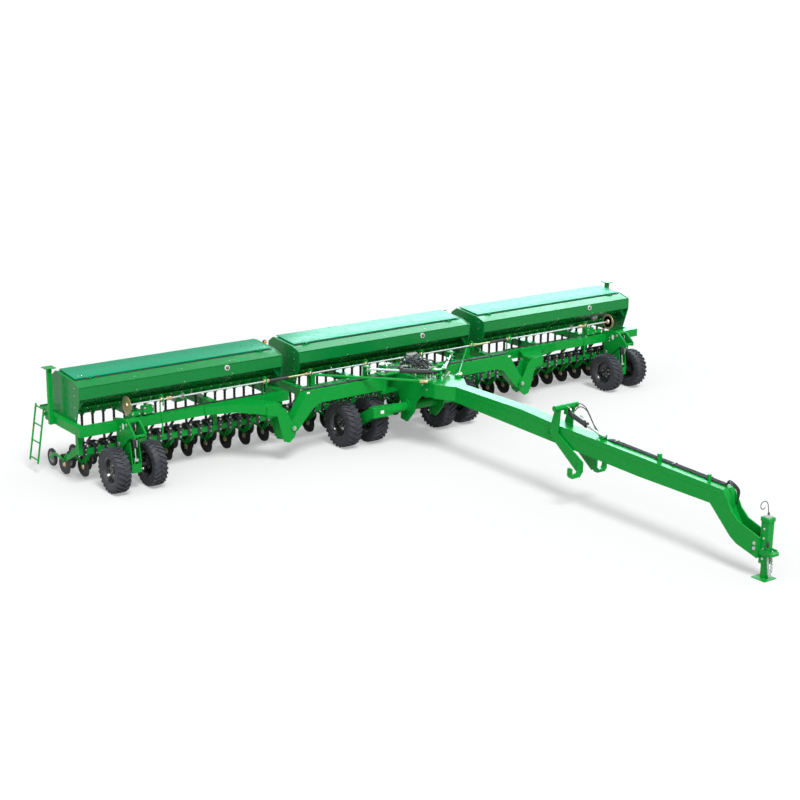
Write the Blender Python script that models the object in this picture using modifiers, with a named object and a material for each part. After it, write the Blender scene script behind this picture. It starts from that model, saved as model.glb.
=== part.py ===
"""Three-section folding seed drill, standing unfolded on its wheels and its tongue jack.

Lengths are in metres. X runs across the machine (+X is its left wing), -Y is forward along the
tongue and +Z is up. Sizes are given in the machine's own frame, with y = 0 at the wing wheel axles,
and one empty moves the whole machine so that its box is centred over the origin.
"""

import math

import bmesh
import bpy
from mathutils import Matrix, Vector

GAP = 0.0003  # between faces that touch
SIDES = (("left", 1), ("right", -1))

# rows
ROW_PITCH = 0.1905
WING_ROWS = 21
CENTRE_ROWS = 22
FIRST_WING_ROW = 2.19

# seed boxes
WING_BOX_IN = 2.247
WING_BOX_OUT = 6.05
CENTRE_BOX_HALF = 1.904
BOX_WALL = 0.012
BOX_SECTION = (
    (0.473, 1.453),
    (0.473, 1.644),
    (0.690, 1.714),
    (1.280, 1.760),
    (1.430, 1.660),
    (1.430, 1.450),
    (1.100, 1.235),
    (0.790, 1.235),
)
LID_FRONT = (0.704, 1.722)
LID_REAR = (1.265, 1.769)
LID_INSET = 0.061
LID_THICK = 0.016
LID_GAP = 0.006
LID_KNUCKLE = 0.012

# frames
BEAM_FRONT = 0.28
BEAM_DEEP = 0.15
BEAM_LOW = 0.90
BEAM_TOP = 1.05
REAR_BEAM = (1.42, 1.54)
CENTRE_FRAME_HALF = 1.97
WING_FRAME_IN = 2.24
WING_FRAME_OUT = 6.15
END_BEAM_WIDE = 0.12
END_BEAM_INSET = 0.001

# openers
TOOLBAR = (0.45, 0.55, 0.55, 0.65)
DISC_RADIUS = 0.172
DISC_HEIGHT = 0.215
FRONT_ROW = 0.87
REAR_ROW = 1.16
PRESS_RADIUS = 0.15
PRESS_HEIGHT = 0.20
PRESS_BEHIND = 0.49

# wheels
WHEEL_SIDES = 20
RIM_SIDES = 16
RIM_RADIUS = 0.20
BEAD_RADIUS = 0.203
WING_WHEEL_RADIUS = 0.369
WING_WHEEL_WIDE = 0.24
WING_WHEEL_X = 5.3835
WING_WHEEL_HALF_TRACK = 0.3245
CENTRE_WHEEL_RADIUS = 0.400
CENTRE_WHEEL_WIDE = 0.28
CENTRE_WHEEL_X = 1.0405
CENTRE_WHEEL_HALF_TRACK = 0.2845
CENTRE_AXLE_Y = -0.048
AXLE_RADIUS = 0.040
AXLE_BORE = 0.046

# centre lift
ROCKSHAFT_Y = -0.55
ROCKSHAFT_Z = 0.68
ROCKSHAFT_RADIUS = 0.085
ROCKSHAFT_BORE = 0.095
ROCKSHAFT_TUBE_END = 0.72
ROCKSHAFT_BEAM_END = 1.10
LIFT_ARM_WIDE = 0.12

# hub and tongue
HUB_HALF = 0.33
HUB_PLATE = 0.025
HUB_TOP = 1.24
HUB_NOSE = -1.62
TONGUE_HALF = 0.12
TONGUE_WALL = 0.022

# fold arms
FOLD_X = 0.60
FOLD_Y = -0.20
FOLD_RADIUS = 0.095
ARM_HALF = 0.10
ARM_TOP = 1.19
ARM_LOW = 0.95
EAR_THICK = 0.025
FLEX_X = 2.54
FLEX_Z = 0.60
FLEX_PIN = 0.030
FLEX_BORE = 0.036
CHEEK = 0.025

# wing gauge wheel legs
LEG_PIVOT = (0.25, 0.70)
LEG_HALF = 0.085
LEG_PLATE = 0.015
BRACKET_PLATE = 0.025
CATCH_BAR = (-0.25, 0.94)

# rams
EYE_WIDE = 0.0594
EYE_RADIUS = 0.030
LUG = 0.015
BARREL_RADIUS = 0.042
BARREL_BORE = 0.028
BARREL_BACK = 0.066
ROD_RADIUS = 0.019
FOLD_RAM_BASE = (0.09, -1.03, 1.36)
FOLD_RAM_EYE = (0.93, -0.20, 1.36)
FOLD_RAM_BARREL = 0.62
LEG_RAM_BASE = (-0.02, 1.08)
LEG_RAM_EYE = (-0.10, 0.50)
LEG_RAM_BARREL = 0.39
HOOK_RAM_BASE = (-4.25, 1.42)
HOOK_RAM_EYE = (-5.07, 1.22)
HOOK_RAM_BARREL = 0.46

# hook carrier on the tongue
CARRIER_PIVOT = (-4.10, 1.05)
CARRIER_TUBE = (-4.203, 1.496)
CARRIER_TUBE_HALF = 0.244
CARRIER_IN = 0.135
CARRIER_PLATE = 0.025

# front end
NOSE_FRONT = -8.28
JACK_Y = NOSE_FRONT - 0.06
JACK_HALF = 0.06
JACK_LEG_HALF = 0.040
JACK_TOP = 0.85
JACK_TUBE_LOW = 0.22
JACK_LEG_TOP = 0.50
JACK_PLATE_HALF = 0.125
JACK_PLATE_THICK = 0.012
CLEVIS_TIP = NOSE_FRONT - 0.25

# rear walkboards, ladder and stored stands
BOARD_DEEP = 0.30
BOARD_THICK = 0.04
LADDER_TOP = (-6.18, 1.12)
LADDER_FOOT = (-6.33, 0.18)
LADDER_Y = (1.50, 1.80)
LADDER_RAIL = 0.016
STAND_Y = 1.24
STAND_HALF = 0.035
STAND_TOP = 1.84
STAND_PLATE_HALF = 0.09

# where the machine frame lies in the shared frame
STAND_OUT = WING_FRAME_OUT - END_BEAM_INSET + GAP + STAND_HALF + STAND_PLATE_HALF
SHIFT_X = -(LADDER_FOOT[0] - LADDER_RAIL + STAND_OUT) / 2
SHIFT_Y = -(CLEVIS_TIP + REAR_BEAM[1] + GAP + BOARD_DEEP) / 2

GREEN = (0.010, 0.330, 0.075)
LID_GREEN = (0.020, 0.400, 0.190)
BLACK = (0.020, 0.020, 0.022)
TYRE = (0.050, 0.052, 0.060)
STEEL = (0.550, 0.550, 0.560)

for old in list(bpy.data.objects):
    bpy.data.objects.remove(old)
parts = bpy.data.collections.new("seed_drill")
bpy.context.scene.collection.children.link(parts)


def material(name, colour, roughness, metallic):
    made = bpy.data.materials.new(name)
    made.use_nodes = True
    shader = made.node_tree.nodes["Principled BSDF"]
    shader.inputs["Base Color"].default_value = (*colour, 1)
    shader.inputs["Roughness"].default_value = roughness
    shader.inputs["Metallic"].default_value = metallic
    return made


def paint(node):
    return material(node, GREEN, 0.35, 0.0)


def realise(source):
    """The evaluated shape of an object as a plain closed mesh object, which takes its place."""
    bpy.context.view_layer.update()
    shape = source.evaluated_get(bpy.context.evaluated_depsgraph_get())
    mesh = bpy.data.meshes.new_from_object(shape)
    work = bmesh.new()
    work.from_mesh(mesh)
    work.transform(source.matrix_world)
    bmesh.ops.remove_doubles(work, verts=work.verts, dist=1e-6)
    bmesh.ops.recalc_face_normals(work, faces=work.faces)
    work.to_mesh(mesh)
    work.free()
    made = bpy.data.objects.new("piece", mesh)
    parts.objects.link(made)
    bpy.data.objects.remove(source)
    return made


def from_bmesh(work):
    mesh = bpy.data.meshes.new("piece")
    work.to_mesh(mesh)
    work.free()
    made = bpy.data.objects.new("piece", mesh)
    parts.objects.link(made)
    return made


def block(low, high):
    """A box between two corners, whichever way round they are given."""
    size = [abs(b - a) for a, b in zip(low, high)]
    middle = [(a + b) / 2 for a, b in zip(low, high)]
    work = bmesh.new()
    bmesh.ops.create_cube(work, matrix=Matrix.Translation(middle) @ Matrix.Diagonal((*size, 1)))
    return from_bmesh(work)


def bar(start, end, radius, sides=12, end_radius=None):
    """A round bar, or a cone, between two points."""
    start, end = Vector(start), Vector(end)
    turn = (end - start).to_track_quat("Z", "Y").to_matrix().to_4x4()
    work = bmesh.new()
    bmesh.ops.create_cone(
        work,
        cap_ends=True,
        segments=sides,
        radius1=radius,
        radius2=radius if end_radius is None else end_radius,
        depth=(end - start).length,
        matrix=Matrix.Translation((start + end) / 2) @ turn,
    )
    return from_bmesh(work)


PLANE = {
    "X": Matrix(((0, 0, 1, 0), (1, 0, 0, 0), (0, 1, 0, 0), (0, 0, 0, 1))),
    "Y": Matrix(((1, 0, 0, 0), (0, 0, -1, 0), (0, 1, 0, 0), (0, 0, 0, 1))),
    "Z": Matrix.Identity(4),
}


def slab(outline, axis, start, end):
    """A flat outline given in the plane across an axis, as thick as from start to end along it."""
    curve = bpy.data.curves.new("outline", "CURVE")
    curve.dimensions = "2D"
    curve.fill_mode = "BOTH"
    curve.extrude = abs(end - start) / 2
    spline = curve.splines.new("POLY")
    spline.points.add(len(outline) - 1)
    for point, (u, v) in zip(spline.points, outline):
        point.co = (u, v, 0, 1)
    spline.use_cyclic_u = True
    flat = bpy.data.objects.new("outline", curve)
    parts.objects.link(flat)
    middle = Vector([0, 0, 0])
    middle["XYZ".index(axis)] = (start + end) / 2
    flat.matrix_world = Matrix.Translation(middle) @ PLANE[axis]
    return realise(flat)


def turned(profile, axis_start, direction, steps, closed=False):
    """A profile of (radius, distance along the axis) points turned about an axis."""
    work = bmesh.new()
    ends = [work.verts.new((radius, 0, along)) for radius, along in profile]
    for first, second in zip(ends, ends[1:] + ends[:1] if closed else ends[1:]):
        work.edges.new((first, second))
    ring = from_bmesh(work)
    screw = ring.modifiers.new("turn", "SCREW")
    screw.steps = steps
    screw.render_steps = steps
    screw.use_merge_vertices = True
    screw.merge_threshold = 0.00001
    turn = Vector(direction).to_track_quat("Z", "Y").to_matrix().to_4x4()
    flat_down = Matrix.Rotation(math.pi / steps, 4, "Z")
    ring.matrix_world = Matrix.Translation(axis_start) @ turn @ flat_down
    return realise(ring)


def boolean(base, other, operation):
    step = base.modifiers.new(operation, "BOOLEAN")
    step.operation = operation
    step.object = other
    made = realise(base)
    bpy.data.objects.remove(other)
    return made


def fused(pieces):
    base = pieces[0]
    for other in pieces[1:]:
        base = boolean(base, other, "UNION")
    return base


def cut(base, *cutters):
    for cutter in cutters:
        base = boolean(base, cutter, "DIFFERENCE")
    return base


def gathered(pieces):
    """Pieces that lie apart, in one object."""
    work = bmesh.new()
    for piece in pieces:
        work.from_mesh(piece.data)
        bpy.data.objects.remove(piece)
    return from_bmesh(work)


machine = bpy.data.objects.new("machine_frame", None)
machine.location = (SHIFT_X, SHIFT_Y, 0)
parts.objects.link(machine)
pivot_place = {machine: Vector((0, 0, 0))}


def pivot(name, place, parent=machine):
    """An empty on a joint's axis, given in the machine frame."""
    made = bpy.data.objects.new(name, None)
    made.parent = parent
    made.location = Vector(place) - pivot_place[parent]
    parts.objects.link(made)
    pivot_place[made] = Vector(place)
    return made


def node(name, piece, finish, parent=machine):
    """Names a finished piece and hangs it on its pivot, with its origin there."""
    place = pivot_place[parent]
    piece.data.transform(Matrix.Translation(-place))
    piece.parent = parent
    piece.name = name
    piece.data.name = name
    piece.data.materials.clear()
    piece.data.materials.append(finish)
    return piece


def inset(outline, wall):
    """The outline moved inwards by a wall, for a convex outline given clockwise."""
    lines = []
    for (ax, ay), (bx, by) in zip(outline, outline[1:] + outline[:1]):
        along = Vector((bx - ax, by - ay)).normalized()
        inward = Vector((along.y, -along.x))
        lines.append((Vector((ax, ay)) + inward * wall, along))
    corners = []
    for (p, d), (q, e) in zip(lines[-1:] + lines[:-1], lines):
        share = (q - p).cross(e) / d.cross(e)
        corners.append(tuple(p + d * share))
    return corners


# ---- seed boxes and their lids ----


def seed_box(name, low, high, parent):
    """A hollow sheet box open at the top, between end plates that stand on the frame."""
    outer = slab(BOX_SECTION, "X", low + BOX_WALL / 2, high - BOX_WALL / 2)
    hollow = slab(inset(BOX_SECTION, BOX_WALL), "X", low + BOX_WALL, high - BOX_WALL)
    mouth_front = LID_FRONT[0] + 0.02
    mouth_rear = LID_REAR[0] - 0.02
    mouth = block(
        (low + LID_INSET + 0.03, mouth_front, LID_FRONT[1] - 0.10),
        (high - LID_INSET - 0.03, mouth_rear, LID_REAR[1] + 0.10),
    )
    shell = cut(outer, mouth, hollow)
    foot = BEAM_TOP + GAP
    end_plate = (
        (0.465, 1.440),
        (0.465, 1.652),
        (0.690, 1.722),
        (1.285, 1.768),
        (1.440, 1.665),
        (REAR_BEAM[1], foot),
        (0.590, foot),
    )
    plates = [slab(end_plate, "X", x, x + BOX_WALL) for x in (low, high - BOX_WALL)]
    lugs = [
        block((x - 0.02, LID_FRONT[0] - 0.030, 1.700), (x + 0.02, LID_FRONT[0] + 0.012, 1.738))
        for x in hinge_places(low, high)
    ]
    return node(name, fused([shell, *plates, *lugs]), paint(name), parent)


def hinge_places(low, high):
    return (low + LID_INSET + 0.25, high - LID_INSET - 0.25)


def lid(name, low, high, parent):
    """A sheet lid hinged along the front edge of its box."""
    section = (
        (LID_FRONT[0] + 0.020, LID_FRONT[1] + LID_GAP),
        (LID_FRONT[0] + 0.020, LID_FRONT[1] + LID_GAP + LID_THICK),
        (LID_REAR[0], LID_REAR[1] + LID_GAP + LID_THICK),
        (LID_REAR[0] + 0.030, LID_REAR[1] + LID_GAP),
        (LID_REAR[0], LID_REAR[1] + LID_GAP),
    )
    hinge = Vector(((low + high) / 2, LID_FRONT[0], LID_FRONT[1] + LID_GAP + LID_KNUCKLE))
    axis = pivot(name + "_hinge", hinge, parent)
    panel = slab(section, "X", low + LID_INSET, high - LID_INSET)
    knuckles = []
    for x in hinge_places(low, high):
        for side in (-1, 1):
            start = x + side * (0.02 + GAP)
            knuckles.append(
                bar((start, hinge.y, hinge.z), (start + side * 0.05, hinge.y, hinge.z), LID_KNUCKLE, 10)
            )
            ear = block(
                (start, hinge.y, LID_FRONT[1] + LID_GAP + 0.003),
                (start + side * 0.05, hinge.y + 0.06, LID_FRONT[1] + LID_GAP + LID_THICK + 0.004),
            )
            knuckles.append(ear)
    finish = material(name, LID_GREEN, 0.4, 0.0)
    return node(name, fused([panel, *knuckles]), finish, axis)


# ---- frames ----


def ladder_frame(low, high, cross, toolbar_hangers):
    """Front and rear beams, end beams and cross beams, with hangers down to the opener toolbar."""
    rear = (REAR_BEAM[0], REAR_BEAM[1])
    pieces = [
        block((low, BEAM_FRONT, BEAM_LOW), (high, BEAM_FRONT + BEAM_DEEP, BEAM_TOP)),
        block((low, rear[0], BEAM_LOW + 0.03), (high, rear[1], BEAM_TOP)),
    ]
    places = (low + END_BEAM_WIDE / 2 + END_BEAM_INSET, *cross, high - END_BEAM_WIDE / 2 - END_BEAM_INSET)
    for x in places:
        half = END_BEAM_WIDE / 2
        pieces.append(
            block((x - half, BEAM_FRONT + 0.02, BEAM_LOW + 0.01), (x + half, rear[1] - 0.01, BEAM_TOP - 0.001))
        )
    for x in toolbar_hangers:
        pieces.append(
            block((x - 0.04, TOOLBAR[0], TOOLBAR[3] + GAP), (x + 0.04, TOOLBAR[1], BEAM_LOW + 0.05))
        )
    return pieces


def openers(name, rows, low, high, parent):
    """A toolbar with one disc opener and press wheel to each row, in two staggered ranks."""
    toolbar = block((low, TOOLBAR[0], TOOLBAR[2]), (high, TOOLBAR[1], TOOLBAR[3]))
    arms, discs, presses = [], [], []
    for x, rear in rows:
        y = REAR_ROW if rear else FRONT_ROW
        arm = (
            (TOOLBAR[1] - 0.03, TOOLBAR[2] + 0.02),
            (TOOLBAR[1] - 0.03, TOOLBAR[3] - 0.01),
            (y + 0.05, 0.400),
            (y + PRESS_BEHIND + 0.02, PRESS_HEIGHT + 0.02),
            (y + PRESS_BEHIND, PRESS_HEIGHT - 0.03),
            (y - 0.04, DISC_HEIGHT - 0.01),
        )
        arms.append(slab(arm, "X", x - 0.016, x + 0.016))
        hub = (x, y, DISC_HEIGHT)
        discs.append(bar((x - 0.010, *hub[1:]), (x + 0.010, *hub[1:]), DISC_RADIUS, 8))
        press = (y + PRESS_BEHIND, PRESS_HEIGHT)
        presses.append(bar((x - 0.025, *press), (x + 0.025, *press), PRESS_RADIUS, 8))
    made = fused([toolbar, gathered(arms), gathered(discs), gathered(presses)])
    return node(name, made, material(name, BLACK, 0.5, 0.2), parent)


def seed_cups(name, rows, low, high, parent):
    """The angle along the bottom of a seed box, with a seed cup to each row."""
    rail_top = BOX_SECTION[-1][1] - GAP
    rail = block((low, 0.800, rail_top - 0.030), (high, 1.000, rail_top))
    cups = [
        slab(
            ((0.840, rail_top - 0.02), (0.960, rail_top - 0.02), (0.930, rail_top - 0.13), (0.870, rail_top - 0.13)),
            "X",
            x - 0.028,
            x + 0.028,
        )
        for x, _ in rows
    ]
    return node(name, fused([rail, gathered(cups)]), paint(name), parent)


def walkboard(name, low, high, parent):
    """A tread plate behind the rear beam, with a kick strip."""
    front = REAR_BEAM[1] + GAP
    tread = block((low, front, BEAM_TOP - BOARD_THICK), (high, front + BOARD_DEEP, BEAM_TOP - 0.005))
    strip = block(
        (low, front + BOARD_DEEP - 0.02, BEAM_TOP - BOARD_THICK),
        (high, front + BOARD_DEEP, BEAM_TOP + 0.02),
    )
    return node(name, fused([tread, strip]), material(name, (0.03, 0.035, 0.03), 0.6, 0.3), parent)


# ---- wheels ----


def tyre(name, x, y, radius, wide, parent):
    outer = radius / math.cos(math.pi / WHEEL_SIDES)
    half = wide / 2
    section = (
        (BEAD_RADIUS, -half * 0.78),
        (BEAD_RADIUS, half * 0.78),
        (outer - 0.035, half),
        (outer, half - 0.045),
        (outer, -half + 0.045),
        (outer - 0.035, -half),
    )
    made = turned(section, (x, y, radius), (1, 0, 0), WHEEL_SIDES, closed=True)
    return node(name, made, material(name, TYRE, 0.8, 0.0), parent)


def axle(name, x, y, radius, wide, half_track, shoulder, parent):
    """A through axle with a rim at each end, whose hubs run against the arm between them."""
    dish = wide * 0.36
    half = (
        (AXLE_RADIUS, 0.0),
        (AXLE_RADIUS, shoulder + GAP),
        (0.075, shoulder + GAP),
        (0.075, half_track - dish),
        (RIM_RADIUS, half_track - dish),
        (RIM_RADIUS, half_track + dish),
        (0.0, half_track + dish),
    )
    profile = [(r, along) for r, along in reversed(half)]
    profile += [(r, -along) for r, along in half[1:]]
    made = turned(profile, (x, y, radius), (1, 0, 0), RIM_SIDES)
    return node(name, made, material(name, BLACK, 0.4, 0.3), parent)


def wheel_pair(prefix, x, y, radius, wide, half_track, shoulder, parent):
    spin = pivot(prefix + "_spin", (x, y, radius), parent)
    axle(prefix + "_axle", x, y, radius, wide, half_track, shoulder, spin)
    for place, offset in (("inner", -half_track), ("outer", half_track)):
        offset = math.copysign(offset, x * offset)
        tyre(f"{prefix}_tyre_{place}", x + offset, y, radius, wide, spin)


# ---- rams ----


def ram(prefix, base, eye, pin_axis, barrel_long, inserted, parent):
    """A hollow barrel on its base pin and a rod with an eye, both as seen at rest."""
    base, eye = Vector(base), Vector(eye)
    span = (eye - base).length
    along = (eye - base) / span
    pin = Vector(pin_axis) * (EYE_WIDE / 2)
    axis = pivot(prefix + "_base_pin", base, parent)
    mouth = 0.016
    back = BARREL_BACK
    section = (
        (0.0, 0.0),
        (EYE_RADIUS * 0.8, 0.0),
        (EYE_RADIUS * 0.8, back),
        (BARREL_RADIUS, back),
        (BARREL_RADIUS, barrel_long),
        (BARREL_BORE, barrel_long),
        (BARREL_BORE, back + mouth),
        (0.0, back + mouth),
    )
    barrel = turned(section, base, along, 12)
    barrel = fused([barrel, bar(base - pin, base + pin, EYE_RADIUS, 12)])
    node(prefix + "_barrel", barrel, material(prefix + "_barrel", BLACK, 0.35, 0.2), axis)
    rod = bar(base + along * (barrel_long - inserted), eye - along * 0.01, ROD_RADIUS, 10)
    rod = fused([rod, bar(eye - pin, eye + pin, EYE_RADIUS, 12)])
    node(prefix + "_rod", rod, material(prefix + "_rod", STEEL, 0.2, 1.0), axis)


def lug_pair(place, pin_axis, low, high):
    """Two plates either side of an eye, each a box from low to high about the pin across its axis."""
    index = "XYZ".index(pin_axis)
    inner = EYE_WIDE / 2 + GAP
    plates = []
    for side in (-1, 1):
        a, b = [p + q for p, q in zip(place, low)], [p + q for p, q in zip(place, high)]
        a[index] = place[index] + side * inner
        b[index] = place[index] + side * (inner + LUG)
        plates.append(block(a, b))
    return plates


# ==== centre section ====

hub_side = (
    (-1.300, 1.000),
    (-1.300, HUB_TOP),
    (BEAM_FRONT - GAP, HUB_TOP),
    (BEAM_FRONT - GAP, BEAM_LOW - 0.012),
    (-0.300, BEAM_LOW - 0.012),
    (-0.400, 0.640),
    (-0.380, 0.420),
    (-0.560, 0.400),
    (-0.760, 0.620),
    (-0.800, 0.800),
    (-0.950, 0.960),
)
nose_half = HUB_HALF - 0.004
nose = ((-nose_half, -1.25), (nose_half, -1.25), (nose_half, -1.31), (TONGUE_HALF, HUB_NOSE))
nose += ((-TONGUE_HALF, HUB_NOSE), (-nose_half, -1.31))
inner_half = HUB_HALF - HUB_PLATE / 2
hub_pieces = [
    slab(nose, "Z", 0.99, HUB_TOP - 0.002),
    block((-inner_half, -1.28, HUB_TOP - 0.022), (inner_half, 0.25, HUB_TOP - 0.004)),
    block((-inner_half, -0.06, 0.91), (inner_half, -0.03, HUB_TOP - 0.012)),
    block((-inner_half, 0.22, 0.91), (inner_half, 0.26, HUB_TOP - 0.010)),
]
for side in (-1, 1):
    plate = slab(hub_side, "X", side * (HUB_HALF - HUB_PLATE), side * HUB_HALF)
    bore_start = (side * (HUB_HALF - 0.1), ROCKSHAFT_Y, ROCKSHAFT_Z)
    bore_end = (side * (HUB_HALF + 0.1), ROCKSHAFT_Y, ROCKSHAFT_Z)
    hub_pieces.append(cut(plate, bar(bore_start, bore_end, ROCKSHAFT_BORE, 16)))
    for low in (BEAM_LOW, HUB_TOP - EAR_THICK):
        ear = block(
            (side * (HUB_HALF - 0.01), FOLD_Y - 0.11, low),
            (side * (FOLD_X + 0.10), FOLD_Y + 0.11, low + EAR_THICK - 0.002),
        )
        hub_pieces.append(ear)
lug_low = FOLD_RAM_BASE[2] - EYE_WIDE / 2 - GAP - LUG
lug_high = FOLD_RAM_BASE[2] + EYE_WIDE / 2 + GAP
for low in (lug_low, lug_high):
    hub_pieces.append(block((-0.13, -1.07, low), (0.13, -0.99, low + LUG)))
hub_pieces.append(block((-0.02, -1.06, HUB_TOP - 0.01), (0.02, -1.00, lug_high + LUG / 2)))
node("centre_hub", fused(hub_pieces), paint("centre_hub"))

centre_hangers = (-1.91, -0.75, 0.75, 1.91)
centre_pieces = ladder_frame(-CENTRE_FRAME_HALF, CENTRE_FRAME_HALF, (-0.75, 0.75), centre_hangers)
node("centre_frame", fused(centre_pieces), paint("centre_frame"))

seed_box("centre_seed_box", -CENTRE_BOX_HALF, CENTRE_BOX_HALF, machine)
lid("centre_lid", -CENTRE_BOX_HALF, CENTRE_BOX_HALF, machine)
centre_rows = [(ROW_PITCH * (i + 0.5 - CENTRE_ROWS / 2), i % 2 == 0) for i in range(CENTRE_ROWS)]
openers("centre_openers", centre_rows, -2.03, 2.03, machine)
cup_room = BOX_WALL + GAP
seed_cups(
    "centre_seed_cups",
    centre_rows[1:-1],
    -CENTRE_BOX_HALF + cup_room,
    CENTRE_BOX_HALF - cup_room,
    machine,
)
walkboard("centre_walkboard", -1.90, 1.90, machine)

for side_name, side in SIDES:
    brace_z = 1.262
    pieces = [
        bar((side * 0.32, -1.15, brace_z), (side * 1.73, 0.33, brace_z), 0.022),
        block((side * 0.27, -1.19, HUB_TOP + GAP), (side * 0.37, -1.11, 1.285)),
        block((side * 1.69, 0.29, BEAM_TOP + GAP), (side * 1.77, 0.37, 1.285)),
    ]
    name = "draft_brace_" + side_name
    node(name, fused(pieces), paint(name))

# ---- centre lift ----

lift = pivot("centre_lift", (0, ROCKSHAFT_Y, ROCKSHAFT_Z))
tube_end = ROCKSHAFT_TUBE_END
shaft_pieces = [
    bar((-tube_end, ROCKSHAFT_Y, ROCKSHAFT_Z), (tube_end, ROCKSHAFT_Y, ROCKSHAFT_Z), ROCKSHAFT_RADIUS, 16)
]
lift_arm = (
    (ROCKSHAFT_Y - 0.06, ROCKSHAFT_Z - 0.07),
    (ROCKSHAFT_Y - 0.02, ROCKSHAFT_Z + 0.06),
    (ROCKSHAFT_Y + 0.10, ROCKSHAFT_Z + 0.04),
    (CENTRE_AXLE_Y + 0.07, CENTRE_WHEEL_RADIUS + 0.06),
    (CENTRE_AXLE_Y + 0.08, CENTRE_WHEEL_RADIUS - 0.07),
    (CENTRE_AXLE_Y - 0.08, CENTRE_WHEEL_RADIUS - 0.08),
)
for side in (-1, 1):
    flange_start = (side * (HUB_HALF + GAP), ROCKSHAFT_Y, ROCKSHAFT_Z)
    flange_end = (side * (HUB_HALF + 0.03), ROCKSHAFT_Y, ROCKSHAFT_Z)
    shaft_pieces.append(bar(flange_start, flange_end, ROCKSHAFT_RADIUS + 0.04, 16))
    beam_low = (side * (tube_end - 0.03), ROCKSHAFT_Y - 0.075, ROCKSHAFT_Z - 0.085)
    beam_high = (side * ROCKSHAFT_BEAM_END, ROCKSHAFT_Y + 0.065, ROCKSHAFT_Z + 0.085)
    shaft_pieces.append(block(beam_low, beam_high))
    arm_in = side * CENTRE_WHEEL_X - LIFT_ARM_WIDE / 2
    arm = slab(lift_arm, "X", arm_in, arm_in + LIFT_ARM_WIDE)
    bore_start = (side * CENTRE_WHEEL_X - 0.2, CENTRE_AXLE_Y, CENTRE_WHEEL_RADIUS)
    bore_end = (side * CENTRE_WHEEL_X + 0.2, CENTRE_AXLE_Y, CENTRE_WHEEL_RADIUS)
    shaft_pieces.append(cut(arm, bar(bore_start, bore_end, AXLE_BORE, 12)))
node("rockshaft", fused(shaft_pieces), paint("rockshaft"), lift)
for side_name, side in SIDES:
    wheel_pair(
        f"centre_{side_name}",
        side * CENTRE_WHEEL_X,
        CENTRE_AXLE_Y,
        CENTRE_WHEEL_RADIUS,
        CENTRE_WHEEL_WIDE,
        CENTRE_WHEEL_HALF_TRACK,
        LIFT_ARM_WIDE / 2,
        lift,
    )

# ==== tongue ====

tongue_side = (
    (HUB_NOSE - GAP, 0.970),
    (HUB_NOSE - GAP, HUB_TOP),
    (-3.300, 1.250),
    (-4.150, 1.200),
    (-5.950, 1.160),
    (-7.590, 1.110),
    (-7.680, 1.000),
    (-7.760, 0.860),
    (-7.900, 0.740),
    (NOSE_FRONT, 0.620),
    (NOSE_FRONT, 0.300),
    (-7.900, 0.400),
    (-7.780, 0.470),
    (-7.370, 0.850),
    (-5.950, 0.850),
    (-4.150, 0.885),
)
nose_hollow = (
    (-7.610, 1.300),
    (-7.640, 0.900),
    (-7.850, 0.560),
    (NOSE_FRONT - 0.10, 0.440),
    (NOSE_FRONT - 0.10, 1.300),
)
hollow_half = TONGUE_HALF - TONGUE_WALL
tongue_body = cut(
    slab(tongue_side, "X", -TONGUE_HALF, TONGUE_HALF),
    slab(nose_hollow, "X", -hollow_half, hollow_half),
)
tongue_pieces = [
    tongue_body,
    block((-hollow_half - 0.005, NOSE_FRONT, 0.36), (hollow_half + 0.005, NOSE_FRONT + 0.02, 0.60)),
    bar((-CARRIER_IN, *CARRIER_PIVOT), (CARRIER_IN, *CARRIER_PIVOT), 0.055),
    bar((0, -6.25, 1.13), (0, -6.25, 1.27), 0.038),
    bar((0, -7.23, 1.10), (0, -7.23, 1.22), 0.030),
    *lug_pair((0, *HOOK_RAM_EYE), "X", (0, -0.035, -0.06), (0, 0.035, 0.03)),
]
tube_low = (-JACK_HALF, JACK_Y - JACK_HALF, JACK_TUBE_LOW)
tube_high = (JACK_HALF, NOSE_FRONT + 0.01, JACK_TOP)
leg_room = JACK_LEG_HALF + GAP
bore_low = (-leg_room, JACK_Y - leg_room, JACK_TUBE_LOW - 0.1)
bore_high = (leg_room, JACK_Y + leg_room, JACK_TOP - 0.02)
jack_tube = cut(block(tube_low, tube_high), block(bore_low, bore_high))
tongue_pieces.append(jack_tube)
node("tongue", fused(tongue_pieces), paint("tongue"))

clevis_in = JACK_HALF + 0.006
clevis = [
    block((side * clevis_in, CLEVIS_TIP + 0.06, 0.36), (side * (clevis_in + 0.025), NOSE_FRONT - GAP, 0.44))
    for side in (-1, 1)
]
ring_out = clevis_in + 0.025
tip = (
    (-ring_out, CLEVIS_TIP + 0.08),
    (ring_out, CLEVIS_TIP + 0.08),
    (ring_out, CLEVIS_TIP + 0.04),
    (ring_out - 0.04, CLEVIS_TIP),
    (-ring_out + 0.04, CLEVIS_TIP),
    (-ring_out, CLEVIS_TIP + 0.04),
)
clevis.append(slab(tip, "Z", 0.38, 0.42))
node("hitch_clevis", fused(clevis), paint("hitch_clevis"))

jack = pivot("jack_slide", (0, JACK_Y, 0))
leg_low = (-JACK_LEG_HALF, JACK_Y - JACK_LEG_HALF, 0.006)
leg_high = (JACK_LEG_HALF, JACK_Y + JACK_LEG_HALF, JACK_LEG_TOP)
plate_low = (-JACK_PLATE_HALF, JACK_Y - JACK_PLATE_HALF, 0)
plate_high = (JACK_PLATE_HALF, JACK_Y + JACK_PLATE_HALF, JACK_PLATE_THICK)
jack_leg = fused([block(leg_low, leg_high), block(plate_low, plate_high)])
node("jack_leg", jack_leg, paint("jack_leg"), jack)

# ---- hook carrier ----

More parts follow.
